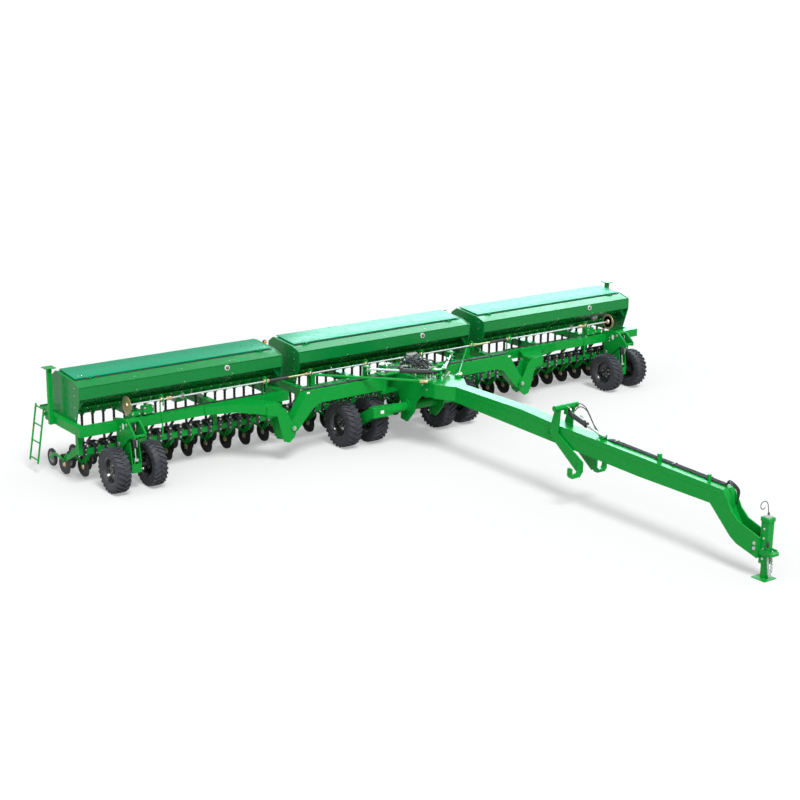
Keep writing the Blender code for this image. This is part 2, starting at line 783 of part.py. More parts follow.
carrier = pivot("hook_carrier_pivot", (0, *CARRIER_PIVOT))
carrier_side = (
    (-4.250, 1.500),
    (-4.150, 1.510),
    (-4.080, 1.300),
    (-4.020, 1.080),
    (-4.060, 1.000),
    (-4.700, 0.560),
    (-4.800, 0.600),
    (-4.800, 0.760),
    (-4.220, 1.080),
)
hook = (
    (CARRIER_IN + 0.003, 0.760),
    (0.180, 0.760),
    (0.180, 0.620),
    (0.215, 0.575),
    (0.320, 0.575),
    (0.350, 0.610),
    (0.350, 0.690),
    (0.390, 0.690),
    (0.390, 0.570),
    (0.350, 0.525),
    (0.190, 0.525),
    (CARRIER_IN + 0.003, 0.590),
)
tube_ends = [(side * CARRIER_TUBE_HALF, *CARRIER_TUBE) for side in (-1, 1)]
carrier_pieces = [bar(*tube_ends, 0.047)]
for side in (-1, 1):
    plate_in = side * (CARRIER_IN + GAP)
    carrier_pieces.append(slab(carrier_side, "X", plate_in, plate_in + side * CARRIER_PLATE))
    mirrored = [(side * x, z) for x, z in hook]
    carrier_pieces.append(slab(mirrored, "Y", -4.79, -4.71))
carrier_pieces += lug_pair((0, *HOOK_RAM_BASE), "X", (0, -0.035, -0.035), (0, 0.035, 0.07))
node("hook_carrier", fused(carrier_pieces), paint("hook_carrier"), carrier)
ram("hook_ram", (0, *HOOK_RAM_BASE), (0, *HOOK_RAM_EYE), (1, 0, 0), HOOK_RAM_BARREL, 0.25, carrier)

# ==== fold arms and wings ====


def wing(side_name, side):
    fold = pivot("fold_" + side_name, (side * FOLD_X, FOLD_Y, 0))
    front, back = FOLD_Y - ARM_HALF, FOLD_Y + ARM_HALF

    def across(outline):
        return [(side * x, z) for x, z in outline]

    # fold arm: a box arm that drops to the flex pin
    arm_side = (
        (FOLD_X + 0.06, ARM_LOW + 0.01),
        (FOLD_X + 0.06, ARM_TOP),
        (2.120, ARM_TOP),
        (2.250, 1.160),
        (2.500, 0.780),
        (FLEX_X + 0.075, FLEX_Z + 0.050),
        (FLEX_X + 0.075, FLEX_Z - 0.040),
        (FLEX_X, FLEX_Z - 0.080),
        (FLEX_X - 0.100, FLEX_Z - 0.070),
        (2.100, 0.900),
        (1.950, ARM_LOW),
    )
    knuckle_low = BEAM_LOW + EAR_THICK + GAP
    knuckle_high = HUB_TOP - EAR_THICK - GAP
    bore_ends = [(side * FLEX_X, y, FLEX_Z) for y in (front - 0.1, back + 0.1)]
    eye_x, eye_y, eye_z = FOLD_RAM_EYE
    lug_low = eye_z - EYE_WIDE / 2 - GAP - LUG
    arm = fused([
        cut(slab(across(arm_side), "Y", front, back), bar(*bore_ends, FLEX_BORE, 12)),
        bar((side * FOLD_X, FOLD_Y, knuckle_low), (side * FOLD_X, FOLD_Y, knuckle_high), FOLD_RADIUS, 16),
        block((side * (eye_x - 0.04), back - 0.045, ARM_TOP - 0.01), (side * (eye_x + 0.04), back, 1.40)),
        *lug_pair((side * eye_x, eye_y, eye_z), "Z", (-0.045, -0.045, 0), (0.045, ARM_HALF - 0.01, 0)),
    ])
    node("fold_arm_" + side_name, arm, paint("fold_arm_" + side_name), fold)
    base = (side * FOLD_RAM_BASE[0], *FOLD_RAM_BASE[1:])
    eye = (side * eye_x, eye_y, eye_z)
    ram("fold_ram_" + side_name, base, eye, (0, 0, 1), FOLD_RAM_BARREL, 0.05, machine)

    # wing frame, with the cheeks that take the flex pin
    flex = pivot("flex_" + side_name, (side * FLEX_X, FOLD_Y, FLEX_Z), fold)
    cheek = (
        (FLEX_X - 0.075, FLEX_Z + 0.020),
        (FLEX_X + 0.040, FLEX_Z + 0.120),
        (2.700, 0.960),
        (2.850, BEAM_TOP),
        (3.060, BEAM_TOP),
        (3.060, BEAM_LOW),
        (2.860, 0.860),
        (2.780, 0.560),
        (2.720, 0.390),
        (2.620, 0.360),
        (FLEX_X - 0.030, 0.450),
    )
    haunch = (
        (2.760, front + 0.01),
        (2.760, back - 0.01),
        (3.000, BEAM_FRONT + 0.02),
        (3.900, BEAM_FRONT + 0.04),
        (3.900, BEAM_FRONT - 0.02),
        (3.400, 0.120),
        (3.050, front + 0.01),
    )
    low, high = sorted((side * WING_FRAME_IN, side * WING_FRAME_OUT))
    hangers = [side * x for x in (2.30, 3.60, 4.90, WING_FRAME_OUT - 0.09)]
    pieces = ladder_frame(low, high, [side * 3.60, side * 4.90], hangers)
    pieces.append(slab([(side * x, y) for x, y in haunch], "Z", BEAM_LOW + 0.005, BEAM_TOP - 0.005))
    pieces.append(block((side * 2.740, front - GAP - 0.01, 0.450), (side * 2.775, back + GAP + 0.01, 0.95)))
    pieces.append(block((side * 2.765, front - 0.012, 0.850), (side * 3.045, back + 0.012, 1.00)))
    for start, end in ((front - GAP - CHEEK, front - GAP), (back + GAP, back + GAP + CHEEK)):
        pieces.append(slab(across(cheek), "Y", start, end))
    pin_ends = [(side * FLEX_X, y, FLEX_Z) for y in (front - CHEEK - 0.03, back + CHEEK + 0.03)]
    pieces.append(bar(*pin_ends, FLEX_PIN, 12))

    # bracket for the gauge wheel leg, with the bar that the tongue's hook takes
    x0 = side * WING_WHEEL_X
    bracket = (
        (0.32, 0.600),
        (0.32, 0.920),
        (0.40, 1.040),
        (0.40, 1.100),
        (0.15, 1.155),
        (0.00, 1.155),
        (-0.10, 1.120),
        (-0.275, 0.975),
        (-0.275, 0.905),
        (-0.120, 0.880),
        (0.050, 0.740),
        (0.180, 0.600),
    )
    for turn in (-1, 1):
        inner = x0 + turn * (LEG_HALF + GAP)
        pieces.append(slab(bracket, "X", inner, inner + turn * BRACKET_PLATE))
    reach = LEG_HALF + BRACKET_PLATE / 2
    pieces.append(block((x0 - reach, -0.055, 1.112), (x0 + reach, 0.10, 1.145)))
    pieces.append(bar((x0 - reach, *CATCH_BAR), (x0 + reach, *CATCH_BAR), 0.022))
    pieces += lug_pair((x0, *LEG_RAM_BASE), "X", (0, -0.032, -0.03), (0, 0.032, 0.05))
    node("wing_frame_" + side_name, fused(pieces), paint("wing_frame_" + side_name), flex)

    # what the wing frame carries
    low, high = sorted((side * WING_BOX_IN, side * WING_BOX_OUT))
    seed_box("seed_box_" + side_name, low, high, flex)
    lid("lid_" + side_name, low, high, flex)
    rows = [(side * (FIRST_WING_ROW + ROW_PITCH * i), i % 2 == 0) for i in range(WING_ROWS)]
    bar_low, bar_high = sorted((side * 2.15, side * (WING_FRAME_OUT - 0.05)))
    openers("openers_" + side_name, rows, bar_low, bar_high, flex)
    seed_cups("seed_cups_" + side_name, rows[1:-1], low + cup_room, high - cup_room, flex)
    board_low, board_high = sorted((side * 2.30, side * (WING_FRAME_OUT - 0.05)))
    walkboard("walkboard_" + side_name, board_low, board_high, flex)
    post_in = side * (WING_FRAME_OUT - END_BEAM_INSET + GAP)
    post_out = post_in + side * 2 * STAND_HALF
    middle = (post_in + post_out) / 2
    post = [
        block((post_in, STAND_Y - STAND_HALF, BEAM_LOW), (post_out, STAND_Y + STAND_HALF, STAND_TOP)),
        block(
            (middle - STAND_PLATE_HALF, STAND_Y - STAND_PLATE_HALF, STAND_TOP - 0.005),
            (middle + STAND_PLATE_HALF, STAND_Y + STAND_PLATE_HALF, STAND_TOP + 0.010),
        ),
    ]
    node("parking_stand_" + side_name, fused(post), paint("parking_stand_" + side_name), flex)

    # gauge wheel leg, its ram and its wheels
    leg_axis = pivot("leg_" + side_name, (x0, *LEG_PIVOT), flex)
    plate = (
        (-0.130, 0.300),
        (-0.130, 0.460),
        (-0.075, 0.800),
        (0.020, 0.860),
        (0.310, 0.760),
        (0.320, 0.650),
        (0.100, 0.420),
        (0.090, 0.290),
    )
    leg = [block((x0 - LEG_HALF + 0.004, -0.125, 0.295), (x0 + LEG_HALF - 0.004, 0.085, 0.440))]
    leg.append(block((x0 - LEG_HALF + 0.004, 0.06, 0.43), (x0 + LEG_HALF - 0.004, 0.10, 0.78)))
    for turn in (-1, 1):
        outer = x0 + turn * LEG_HALF
        leg.append(slab(plate, "X", outer, outer - turn * LEG_PLATE))
    leg += lug_pair((x0, *LEG_RAM_EYE), "X", (0, -0.028, -0.075), (0, 0.030, 0.030))
    bore = [(x0 + turn * 0.3, 0, WING_WHEEL_RADIUS) for turn in (-1, 1)]
    made = cut(fused(leg), bar(*bore, AXLE_BORE, 12))
    node("wheel_leg_" + side_name, made, paint("wheel_leg_" + side_name), leg_axis)
    ram("leg_ram_" + side_name, (x0, *LEG_RAM_BASE), (x0, *LEG_RAM_EYE), (1, 0, 0), LEG_RAM_BARREL, 0.14, flex)
    wheel_pair(
        "wing_" + side_name,
        x0,
        0.0,
        WING_WHEEL_RADIUS,
        WING_WHEEL_WIDE,
        WING_WHEEL_HALF_TRACK,
        LEG_HALF,
        leg_axis,
    )
    return flex


flexes = {side_name: wing(side_name, side) for side_name, side in SIDES}

# ---- ladder at the right rear corner ----

rails = []
for y in LADDER_Y:
    rails.append(bar((LADDER_TOP[0], y, LADDER_TOP[1]), (LADDER_FOOT[0], y, LADDER_FOOT[1]), LADDER_RAIL, 8))
rungs = []
for share in (0.06, 0.36, 0.66, 0.96):
    x, z = (a + (b - a) * share for a, b in zip(LADDER_FOOT, LADDER_TOP))
    rungs.append(bar((x, LADDER_Y[0], z), (x, LADDER_Y[1], z), LADDER_RAIL * 0.8, 8))
tab_out = LADDER_TOP[0] - 0.005
tab = block((tab_out, LADDER_Y[0] - 0.01, 0.98), (-WING_FRAME_OUT - GAP, LADDER_Y[0] + 0.025, 1.03))
node("ladder_right", fused([*rails, *rungs, tab]), paint("ladder_right"), flexes["right"])
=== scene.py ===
"""The look of a three-section folding seed drill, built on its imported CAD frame.

Every piece is modelled in the drill's own place: x across the machine, y rearward from the
wing wheel axles, z up from the ground. It is then shifted by `zero` into the shared frame.
"""

import random
from math import copysign, cos, pi, radians, sin

import bmesh
import bpy
from mathutils import Matrix, Vector


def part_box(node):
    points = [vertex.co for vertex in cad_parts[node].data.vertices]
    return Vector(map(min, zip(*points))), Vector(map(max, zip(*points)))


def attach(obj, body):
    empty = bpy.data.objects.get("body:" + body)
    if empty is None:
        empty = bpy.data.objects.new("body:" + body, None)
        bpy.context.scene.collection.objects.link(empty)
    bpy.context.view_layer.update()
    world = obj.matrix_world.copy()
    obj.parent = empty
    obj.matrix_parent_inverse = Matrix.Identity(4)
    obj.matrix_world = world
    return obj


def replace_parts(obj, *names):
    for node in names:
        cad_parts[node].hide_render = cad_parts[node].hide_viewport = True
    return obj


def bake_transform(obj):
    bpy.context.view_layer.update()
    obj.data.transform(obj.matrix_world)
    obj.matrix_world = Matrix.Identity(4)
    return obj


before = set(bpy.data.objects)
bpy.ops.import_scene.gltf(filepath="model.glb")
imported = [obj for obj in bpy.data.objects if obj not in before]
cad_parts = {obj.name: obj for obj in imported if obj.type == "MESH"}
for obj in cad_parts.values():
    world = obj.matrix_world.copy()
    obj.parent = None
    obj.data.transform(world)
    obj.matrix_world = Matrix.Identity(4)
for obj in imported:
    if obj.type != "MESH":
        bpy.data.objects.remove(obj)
scene = bpy.context.scene
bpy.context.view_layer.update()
tongue_low, tongue_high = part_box("tongue")
axle_low, axle_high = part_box("wing_left_axle")
zero = Vector(((tongue_low.x + tongue_high.x) / 2, (axle_low.y + axle_high.y) / 2, 0))
SIDES = (("left", 1), ("right", -1))

# ---------------------------------------------------------------------------
# Painted steelwork: the welded frames, hub, arms, legs, tongue and carrier.
# Mild steel plate and tube, shot blasted and sprayed with one bright green gloss.
# Plate edges are dressed round, so every edge carries a thin line of light.
# ---------------------------------------------------------------------------

FRAME_GREEN = (0.001, 0.29, 0.034, 1)
FRAME_SHADE = (0.001, 0.235, 0.028, 1)
ROAD_DUST = (0.23, 0.19, 0.12, 1)
EDGE_ROUND = 0.005


def node_group(name, colours, numbers):
    """A shader group with colour and number inputs, and the three outputs that a finish reads."""
    made = bpy.data.node_groups.new(name, "ShaderNodeTree")
    for kind, inputs in (("NodeSocketColor", colours), ("NodeSocketFloat", numbers)):
        for label, value in inputs.items():
            made.interface.new_socket(label, in_out="INPUT", socket_type=kind).default_value = value
    for label, kind in (("Colour", "Color"), ("Roughness", "Float"), ("Normal", "Vector")):
        made.interface.new_socket(label, in_out="OUTPUT", socket_type="NodeSocket" + kind)
    return made, made.nodes.new("NodeGroupInput").outputs, made.nodes.new("NodeGroupOutput").inputs


def noise(tree, place, scale, detail=3.0, roughness=0.55):
    made = tree.nodes.new("ShaderNodeTexNoise")
    made.inputs["Scale"].default_value = scale
    made.inputs["Detail"].default_value = detail
    made.inputs["Roughness"].default_value = roughness
    tree.links.new(place, made.inputs["Vector"])
    return made.outputs["Fac"]


def spread(tree, value, low, high, to_low, to_high):
    made = tree.nodes.new("ShaderNodeMapRange")
    tree.links.new(value, made.inputs["Value"])
    for label, number in (("From Min", low), ("From Max", high), ("To Min", to_low), ("To Max", to_high)):
        made.inputs[label].default_value = number
    return made.outputs["Result"]


def combine(tree, operation, first, second):
    made = tree.nodes.new("ShaderNodeMath")
    made.operation = operation
    for socket, value in zip(made.inputs, (first, second)):
        if isinstance(value, float):
            socket.default_value = value
        else:
            tree.links.new(value, socket)
    return made.outputs[0]


def times(tree, first, second):
    return combine(tree, "MULTIPLY", first, second)


def mix(tree, share, first, second):
    made = tree.nodes.new("ShaderNodeMix")
    made.data_type = "RGBA"
    tree.links.new(share, made.inputs[0])
    tree.links.new(first, made.inputs[6])
    tree.links.new(second, made.inputs[7])
    return made.outputs[2]


def bump(tree, height, strength, distance):
    made = tree.nodes.new("ShaderNodeBump")
    made.inputs["Strength"].default_value = strength
    made.inputs["Distance"].default_value = distance
    tree.links.new(height, made.inputs["Height"])
    return made.outputs["Normal"]


def object_place(tree):
    return tree.nodes.new("ShaderNodeTexCoord").outputs["Object"]


def sprayed_paint():
    """Gloss paint: slow changes of shade from coat thickness, orange peel, and dust low down."""
    tree, given, out = node_group(
        "sprayed paint", {"Paint": FRAME_GREEN, "Shade": FRAME_SHADE, "Dust": ROAD_DUST},
        {"Dustiness": 0.06, "Gloss": 0.3},
    )
    place = object_place(tree)
    cloud = spread(tree, noise(tree, place, 1.3), 0.3, 0.7, 0.0, 0.35)
    coat = mix(tree, cloud, given["Paint"], given["Shade"])
    parts = tree.nodes.new("ShaderNodeSeparateXYZ")
    tree.links.new(place, parts.inputs[0])
    low = spread(tree, parts.outputs["Z"], 0.1, 0.9, 1.0, 0.12)
    specks = spread(tree, noise(tree, place, 34.0, 5.0), 0.42, 0.72, 0.0, 1.0)
    share = times(tree, times(tree, low, specks), given["Dustiness"])
    tree.links.new(mix(tree, share, coat, given["Dust"]), out["Colour"])
    fine = spread(tree, noise(tree, place, 9.0, 4.0), 0.3, 0.7, -0.05, 0.09)
    tree.links.new(combine(tree, "ADD", given["Gloss"], fine), out["Roughness"])
    tree.links.new(bump(tree, noise(tree, place, 150.0, 1.0), 0.025, 0.001), out["Normal"])
    return tree


def finish(name, group, values, **own):
    """A material whose changing values come from a group, and whose steady ones sit on the shader."""
    made = bpy.data.materials.new(name)
    made.use_nodes = True
    tree = made.node_tree
    shader = tree.nodes["Principled BSDF"]
    effect = tree.nodes.new("ShaderNodeGroup")
    effect.node_tree = group
    for label, value in values.items():
        effect.inputs[label].default_value = value
    for label, target in (
        ("Colour", "Base Color"), ("Roughness", "Roughness"), ("Normal", "Normal"),
    ):
        if label in effect.outputs:
            tree.links.new(effect.outputs[label], shader.inputs[target])
    for label, value in own.items():
        shader.inputs[label.replace("_", " ")].default_value = value
    return made


paint_effect = sprayed_paint()
frame_paint = finish(
    "frame green", paint_effect, {"Dustiness": 0.06, "Gloss": 0.25},
    Specular_IOR_Level=0.18, Coat_Weight=0.06, Coat_Roughness=0.08,
)


def dressed(node, finish_used, edge=EDGE_ROUND):
    """Gives a CAD node its finish, and rounds its plate edges with modifiers alone."""
    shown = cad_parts[node]
    shown.data.materials.clear()
    shown.data.materials.append(finish_used)
    if "custom_normal" in shown.data.attributes:
        shown.data.attributes.remove(shown.data.attributes["custom_normal"])
    shown.data.shade_smooth()
    weld = shown.modifiers.new("weld", "WELD")
    weld.merge_threshold = 0.00002
    flat = shown.modifiers.new("flat faces", "DECIMATE")
    flat.decimate_type = "DISSOLVE"
    flat.angle_limit = radians(1.5)
    rounding = shown.modifiers.new("dressed edges", "BEVEL")
    rounding.width = edge
    rounding.segments = 2
    rounding.limit_method = "ANGLE"
    rounding.angle_limit = radians(38)
    rounding.harden_normals = True
    return shown


painted = ["centre_frame", "centre_hub", "tongue", "hitch_clevis", "rockshaft", "hook_carrier", "jack_leg",
    "ladder_right"]
for hand, side in SIDES:
    painted += [
        name + hand
        for name in ("fold_arm_", "wing_frame_", "wheel_leg_", "parking_stand_", "draft_brace_")
    ]
for node in painted:
    dressed(node, frame_paint)

# ---------------------------------------------------------------------------
# Seed boxes and lids: long hoppers of pressed sheet, three in a row.
# The front is folded to a sloping lower panel, riveted to inner baffles, and
# the lids are a lighter sheet, hinged at the front.
# ---------------------------------------------------------------------------

BOX_GREEN = (0.001, 0.205, 0.038, 1)
BOX_SHADE = (0.001, 0.17, 0.03, 1)
# The lid colours are the lids' green paint with a painted cyan sky reflection mixed in, so the lid finish
# keeps its own specular low
LID_GREEN_WITH_PAINTED_SHEEN = (0.004, 0.3, 0.14, 1)
LID_SHADE_WITH_PAINTED_SHEEN = (0.003, 0.255, 0.115, 1)
BOXES = (
    ("centre", "main_frame", -1.904, 1.904), ("left", "wing_left", 2.247, 6.05),
    ("right", "wing_right", -6.05, -2.247),
)
FRONT_Y = 0.473
SLOPE_TOP = (0.473, 1.453)
SLOPE_FOOT = (0.79, 1.235)
RIVET = 0.009

box_paint = finish(
    "hopper green", paint_effect, {"Paint": BOX_GREEN, "Shade": BOX_SHADE, "Dustiness": 0.04, "Gloss": 0.22},
    Specular_IOR_Level=0.3, Coat_Weight=0.06, Coat_Roughness=0.06,
)
# lid finish: teal green that holds a painted sky reflection, with little real specular
lid_paint_with_sheen = finish(
    "lid green with painted sheen", paint_effect, {"Paint": LID_GREEN_WITH_PAINTED_SHEEN, "Shade": LID_SHADE_WITH_PAINTED_SHEEN, "Dustiness": 0.06, "Gloss": 0.3},
    Specular_IOR_Level=0.08,
)
for node in ("centre_seed_box", "seed_box_left", "seed_box_right"):
    dressed(node, box_paint, 0.004)
for node in ("centre_lid", "lid_left", "lid_right"):
    dressed(node, lid_paint_with_sheen, 0.006)


def worked_metal():
    """Plated or machined metal: a slow stain, fine tool or rolling marks, and a patchy shine."""
    tree, given, out = node_group(
        "worked metal", {"Metal": (0.6, 0.6, 0.6, 1), "Stain": (0.3, 0.28, 0.25, 1)},
        {"Staining": 0.4, "Shine": 0.25},
    )
    place = object_place(tree)
    patch = spread(tree, noise(tree, place, 14.0, 5.0, 0.65), 0.35, 0.75, 0.0, 1.0)
    share = times(tree, patch, given["Staining"])
    tree.links.new(mix(tree, share, given["Metal"], given["Stain"]), out["Colour"])
    tree.links.new(combine(tree, "ADD", given["Shine"], times(tree, patch, 0.22)), out["Roughness"])
    tree.links.new(bump(tree, noise(tree, place, 260.0, 2.0), 0.15, 0.0006), out["Normal"])
    return tree


metal_effect = worked_metal()


def metal(name, colour, stain, staining, shine, **own):
    values = {"Metal": colour, "Stain": stain, "Staining": staining, "Shine": shine}
    return finish(name, metal_effect, values, **own)


zinc = metal("zinc plated bolts", (0.72, 0.73, 0.72, 1), (0.3, 0.28, 0.25, 1), 0.3, 0.22, Metallic=0.9)
brass = metal("yellow zinc and brass", (0.78, 0.6, 0.3, 1), (0.45, 0.38, 0.3, 1), 0.7, 0.3, Metallic=0.85)

black_plastic = metal("black moulding", (0.018, 0.018, 0.02, 1), (0.04, 0.04, 0.042, 1), 0.6, 0.38)


def add(work, part, slot=0):
    """Puts a shape into a larger one, in the finish that the slot names."""
    for face in part.faces:
        face.material_index = slot
    mesh = bpy.data.meshes.new("part")
    part.to_mesh(mesh)
    part.free()
    work.from_mesh(mesh)
    bpy.data.meshes.remove(mesh)


def skinned(work, part, rings, slot, closed=False):
    """Joins rings of points into one skin, with its ends shut unless it closes on itself."""
    for first, second in zip(rings, rings[1:] + (rings[:1] if closed else [])):
        for i in range(len(first)):
            j = (i + 1) % len(first)
            part.faces.new((first[i], first[j], second[j], second[i]))
    if not closed:
        part.faces.new(rings[0][::-1])
        part.faces.new(rings[-1])
    bmesh.ops.recalc_face_normals(part, faces=part.faces)
    add(work, part, slot)


def circle(count):
    return [2 * pi * k / count for k in range(count)]


def block(work, low, high, slot=0, edge=0.003):
    """A plate or bar with dressed edges, between two corners."""
    size = [max(abs(b - a), 1e-4) for a, b in zip(low, high)]
    middle = [(a + b) / 2 for a, b in zip(low, high)]
    part = bmesh.new()
    bmesh.ops.create_cube(part, matrix=Matrix.Translation(middle) @ Matrix.Diagonal((*size, 1)))
    width = min(edge, min(size) * 0.3)
    bmesh.ops.bevel(part, geom=part.edges, offset=width, segments=1, profile=0.5, affect="EDGES")
    add(work, part, slot)


def rod(work, start, end, radius, slot=0, sides=12, end_radius=None):
    """A round bar, or a taper, between two points."""
    start, end = Vector(start), Vector(end)
    turn = (end - start).to_track_quat("Z", "Y").to_matrix().to_4x4()
    part = bmesh.new()
    bmesh.ops.create_cone(
        part, cap_ends=True, segments=sides, radius1=radius,
        radius2=radius if end_radius is None else end_radius,
        depth=(end - start).length, matrix=Matrix.Translation((start + end) / 2) @ turn,
    )
    add(work, part, slot)


def plate(work, outline, thick_axis, start, end, slot=0):
    """A flat outline, in the plane across an axis, with a thickness along it."""
    place = {
        "X": lambda u, v, w: (w, u, v), "Y": lambda u, v, w: (u, w, v), "Z": lambda u, v, w: (u, v, w),
    }[thick_axis]
    part = bmesh.new()
    skinned(work, part, [[part.verts.new(place(u, v, w)) for u, v in outline] for w in (start, end)], slot)


def bolt(work, place, out, radius=0.012, slot=0, height=0.012):
    """A hexagon head on its washer."""
    place, out = Vector(place), Vector(out).normalized()
    rod(work, place - out * 0.002, place + out * 0.003, radius * 1.35, slot, 12)
    rod(work, place, place + out * height, radius, slot, 6)


def piece(name, work, body, finishes, sharp=38):
    """Makes an object of a shape, shades it, and rides it on a body."""
    mesh = bpy.data.meshes.new(name)
    work.to_mesh(mesh)
    work.free()
    for used in finishes:
        mesh.materials.append(used)
    mesh.shade_smooth()
    mesh.set_sharp_from_angle(angle=radians(sharp))
    made = bpy.data.objects.new(name, mesh)
    scene.collection.objects.link(made)
    made.location = zero
    if body:
        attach(made, body)
    return made


slope = Vector((0, SLOPE_FOOT[0] - SLOPE_TOP[0], SLOPE_FOOT[1] - SLOPE_TOP[1]))
slope_out = Vector((0, slope.z, -slope.y)).normalized()
for box_name, body, low, high in BOXES:
    trim = bmesh.new()
    width = high - low
    for share in (0.27, 0.5, 0.74):
        middle = low + width * share
        for t in (0.1, 0.3, 0.5, 0.7, 0.9):
            spot = Vector((middle, *SLOPE_TOP)) + slope * t
            rod(trim, spot, spot + slope_out * 0.005, RIVET, 1, 8, RIVET * 0.6)
        rod(trim, (middle, FRONT_Y, 1.475), (middle, FRONT_Y - 0.005, 1.475), RIVET, 1, 8, RIVET * 0.6)
        rod(trim, (middle, 0.56, 1.675), (middle, 0.558, 1.681), RIVET, 1, 8, RIVET * 0.6)
    # the folded angle along the foot of the front panel, with the cup bolts
    plate(trim, ((0.762, 1.244), (0.79, 1.244), (0.8, 1.236), (0.8, 1.206), (0.762, 1.206)), "X",
        low + 0.02, high - 0.02, 2)
    count = 20
    for i in range(count):
        x = low + 0.09 + (width - 0.18) * i / (count - 1)
        bolt(trim, (x, 0.763, 1.224), (0, -1, 0), 0.008, 1, 0.007)
    # corner gussets between the sloping panel and the end plates
    for end, lean in ((low + 0.013, 1), (high - 0.013, -1)):
        plate(trim, ((end, 1.44), (end + lean * 0.16, 1.44), (end, 1.25)), "Y", 0.56, 0.566, 0)
        for z in (1.12, 1.3, 1.5, 1.62):
            bolt(trim, (end - lean * 0.015, 0.62, z), (-lean, 0, 0), 0.009, 1, 0.008)
    # a roll formed lip at the front panel's top fold, and a black strip that paints the shaded gap under the
    # lid's front edge
    plate(trim, ((0.474, 1.64), (0.466, 1.65), (0.47, 1.659), (0.486, 1.655)), "X", low + 0.014,
        high - 0.014, 0)
    block(trim, (low + 0.05, 0.699, 1.713), (high - 0.05, 0.708, 1.727), 3, 0.002)
    piece(f"{box_name}_box_trim", trim, body, [box_paint, zinc, frame_paint, black_plastic])

    fittings = bmesh.new()
    lid_low, lid_high = low + 0.061, high - 0.061
    for x in (lid_low + 0.1, lid_low + 0.16, lid_high - 0.16, lid_high - 0.1):
        rod(fittings, (x, 0.8, 1.756), (x, 0.8, 1.762), 0.01, 1, 10, 0.006)
    for i in range(3):
        x = lid_low + (lid_high - lid_low) * (0.5 + i) / 3
        block(fittings, (x - 0.025, 1.292, 1.735), (x + 0.025, 1.318, 1.775), 2, 0.004)
        rod(fittings, (x - 0.045, 1.318, 1.742), (x + 0.045, 1.318, 1.742), 0.008, 2, 8)
    lid_body = "centre_lid" if box_name == "centre" else f"lid_{box_name}"
    piece(f"{box_name}_lid_fittings", fittings, lid_body, [lid_paint_with_sheen, zinc, black_plastic])

# ---------------------------------------------------------------------------
# Level gauges, end markers and lamps: small moulded parts screwed to the boxes.
# A white ring round a black dial, with a white pointer, shows how full each hopper is.
# ---------------------------------------------------------------------------

GAUGES = (("centre", "main_frame", 0.79), ("left", "wing_left", 4.97), ("right", "wing_right", -3.34))
GAUGE_RADIUS = 0.047
white_plastic = metal("white moulding", (0.82, 0.82, 0.8, 1), (0.6, 0.58, 0.54, 1), 0.4, 0.32)
amber_plastic = metal(
    "amber lamp lens", (0.85, 0.25, 0.02, 1), (0.6, 0.15, 0.02, 1), 0.4, 0.12, Coat_Weight=0.8,
)
grey_plastic = metal("grey moulding", (0.33, 0.34, 0.34, 1), (0.22, 0.22, 0.21, 1), 0.5, 0.4)
for gauge_name, body, x in GAUGES:
    gauge = bmesh.new()
    rod(gauge, (x, 0.473, 1.59), (x, 0.46, 1.59), GAUGE_RADIUS, 0, 32, GAUGE_RADIUS * 0.94)
    rod(gauge, (x, 0.463, 1.59), (x, 0.457, 1.59), GAUGE_RADIUS * 0.66, 1, 32, GAUGE_RADIUS * 0.62)
    plate(gauge, ((x - 0.003, 1.59), (x + 0.018, 1.609), (x + 0.002, 1.585)), "Y", 0.457, 0.4545, 0)
    for turn in range(7):
        angle = radians(-120 + 40 * turn)
        spot = (x + 0.039 * sin(angle), 0.461, 1.59 + 0.039 * cos(angle))
        rod(gauge, spot, (spot[0], 0.4592, spot[2]), 0.0025, 1, 8)
    piece(f"level_gauge_{gauge_name}", gauge, body, [white_plastic, black_plastic])

far_plate = bmesh.new()
corners = [(5.254 + 0.085 * cos(a), 1.352 + 0.04 * sin(a)) for a in
    [radians(i * 15) for i in range(24)]]
plate(far_plate, [(u, v - 0.02) for u, v in corners], "Y", 0.6, 0.61, 0)
rod(far_plate, (5.22, 0.6, 1.335), (5.22, 0.59, 1.335), 0.012, 1, 12)
rod(far_plate, (5.29, 0.6, 1.335), (5.29, 0.59, 1.335), 0.012, 1, 12)
block(far_plate, (5.24, 0.605, 1.3), (5.27, 0.66, 1.36), 1)
piece("drive_guard_left", far_plate, "wing_left", [grey_plastic, zinc])

for lamp_name, body, x, wall, y, z in (
    ("right", "wing_right", -2.2, -2.247, 1.1, 1.748), ("left", "main_frame", 1.945, 1.904, 1.265, 1.733),
):
    lamp = bmesh.new()
    block(lamp, (min(x, wall) - 0.002, y - 0.02, z - 0.11), (max(x, wall) + 0.01, y + 0.02, z - 0.03), 2)
    block(lamp, (x - 0.034, y - 0.022, z - 0.036), (x + 0.034, y + 0.022, z + 0.036), 1, 0.01)
    for way in (-1, 1):
        rod(lamp, (x, y + way * 0.02, z), (x, y + way * 0.036, z), 0.029, 0, 20, 0.022)
    piece(f"warning_lamp_{lamp_name}", lamp, body, [amber_plastic, black_plastic, frame_paint])

# ---------------------------------------------------------------------------
# Seed cups: one casting under the hopper for each row, on a square drive shaft.
# Each has a funnel that a black ribbed tube is pushed onto.
# ---------------------------------------------------------------------------

ROW_PITCH = 0.1905
WING_ROWS = 21
CENTRE_ROWS = 22
CUP_TOP = 1.206
DISC_FRONT_Y = 0.87
DISC_REAR_Y = 1.16


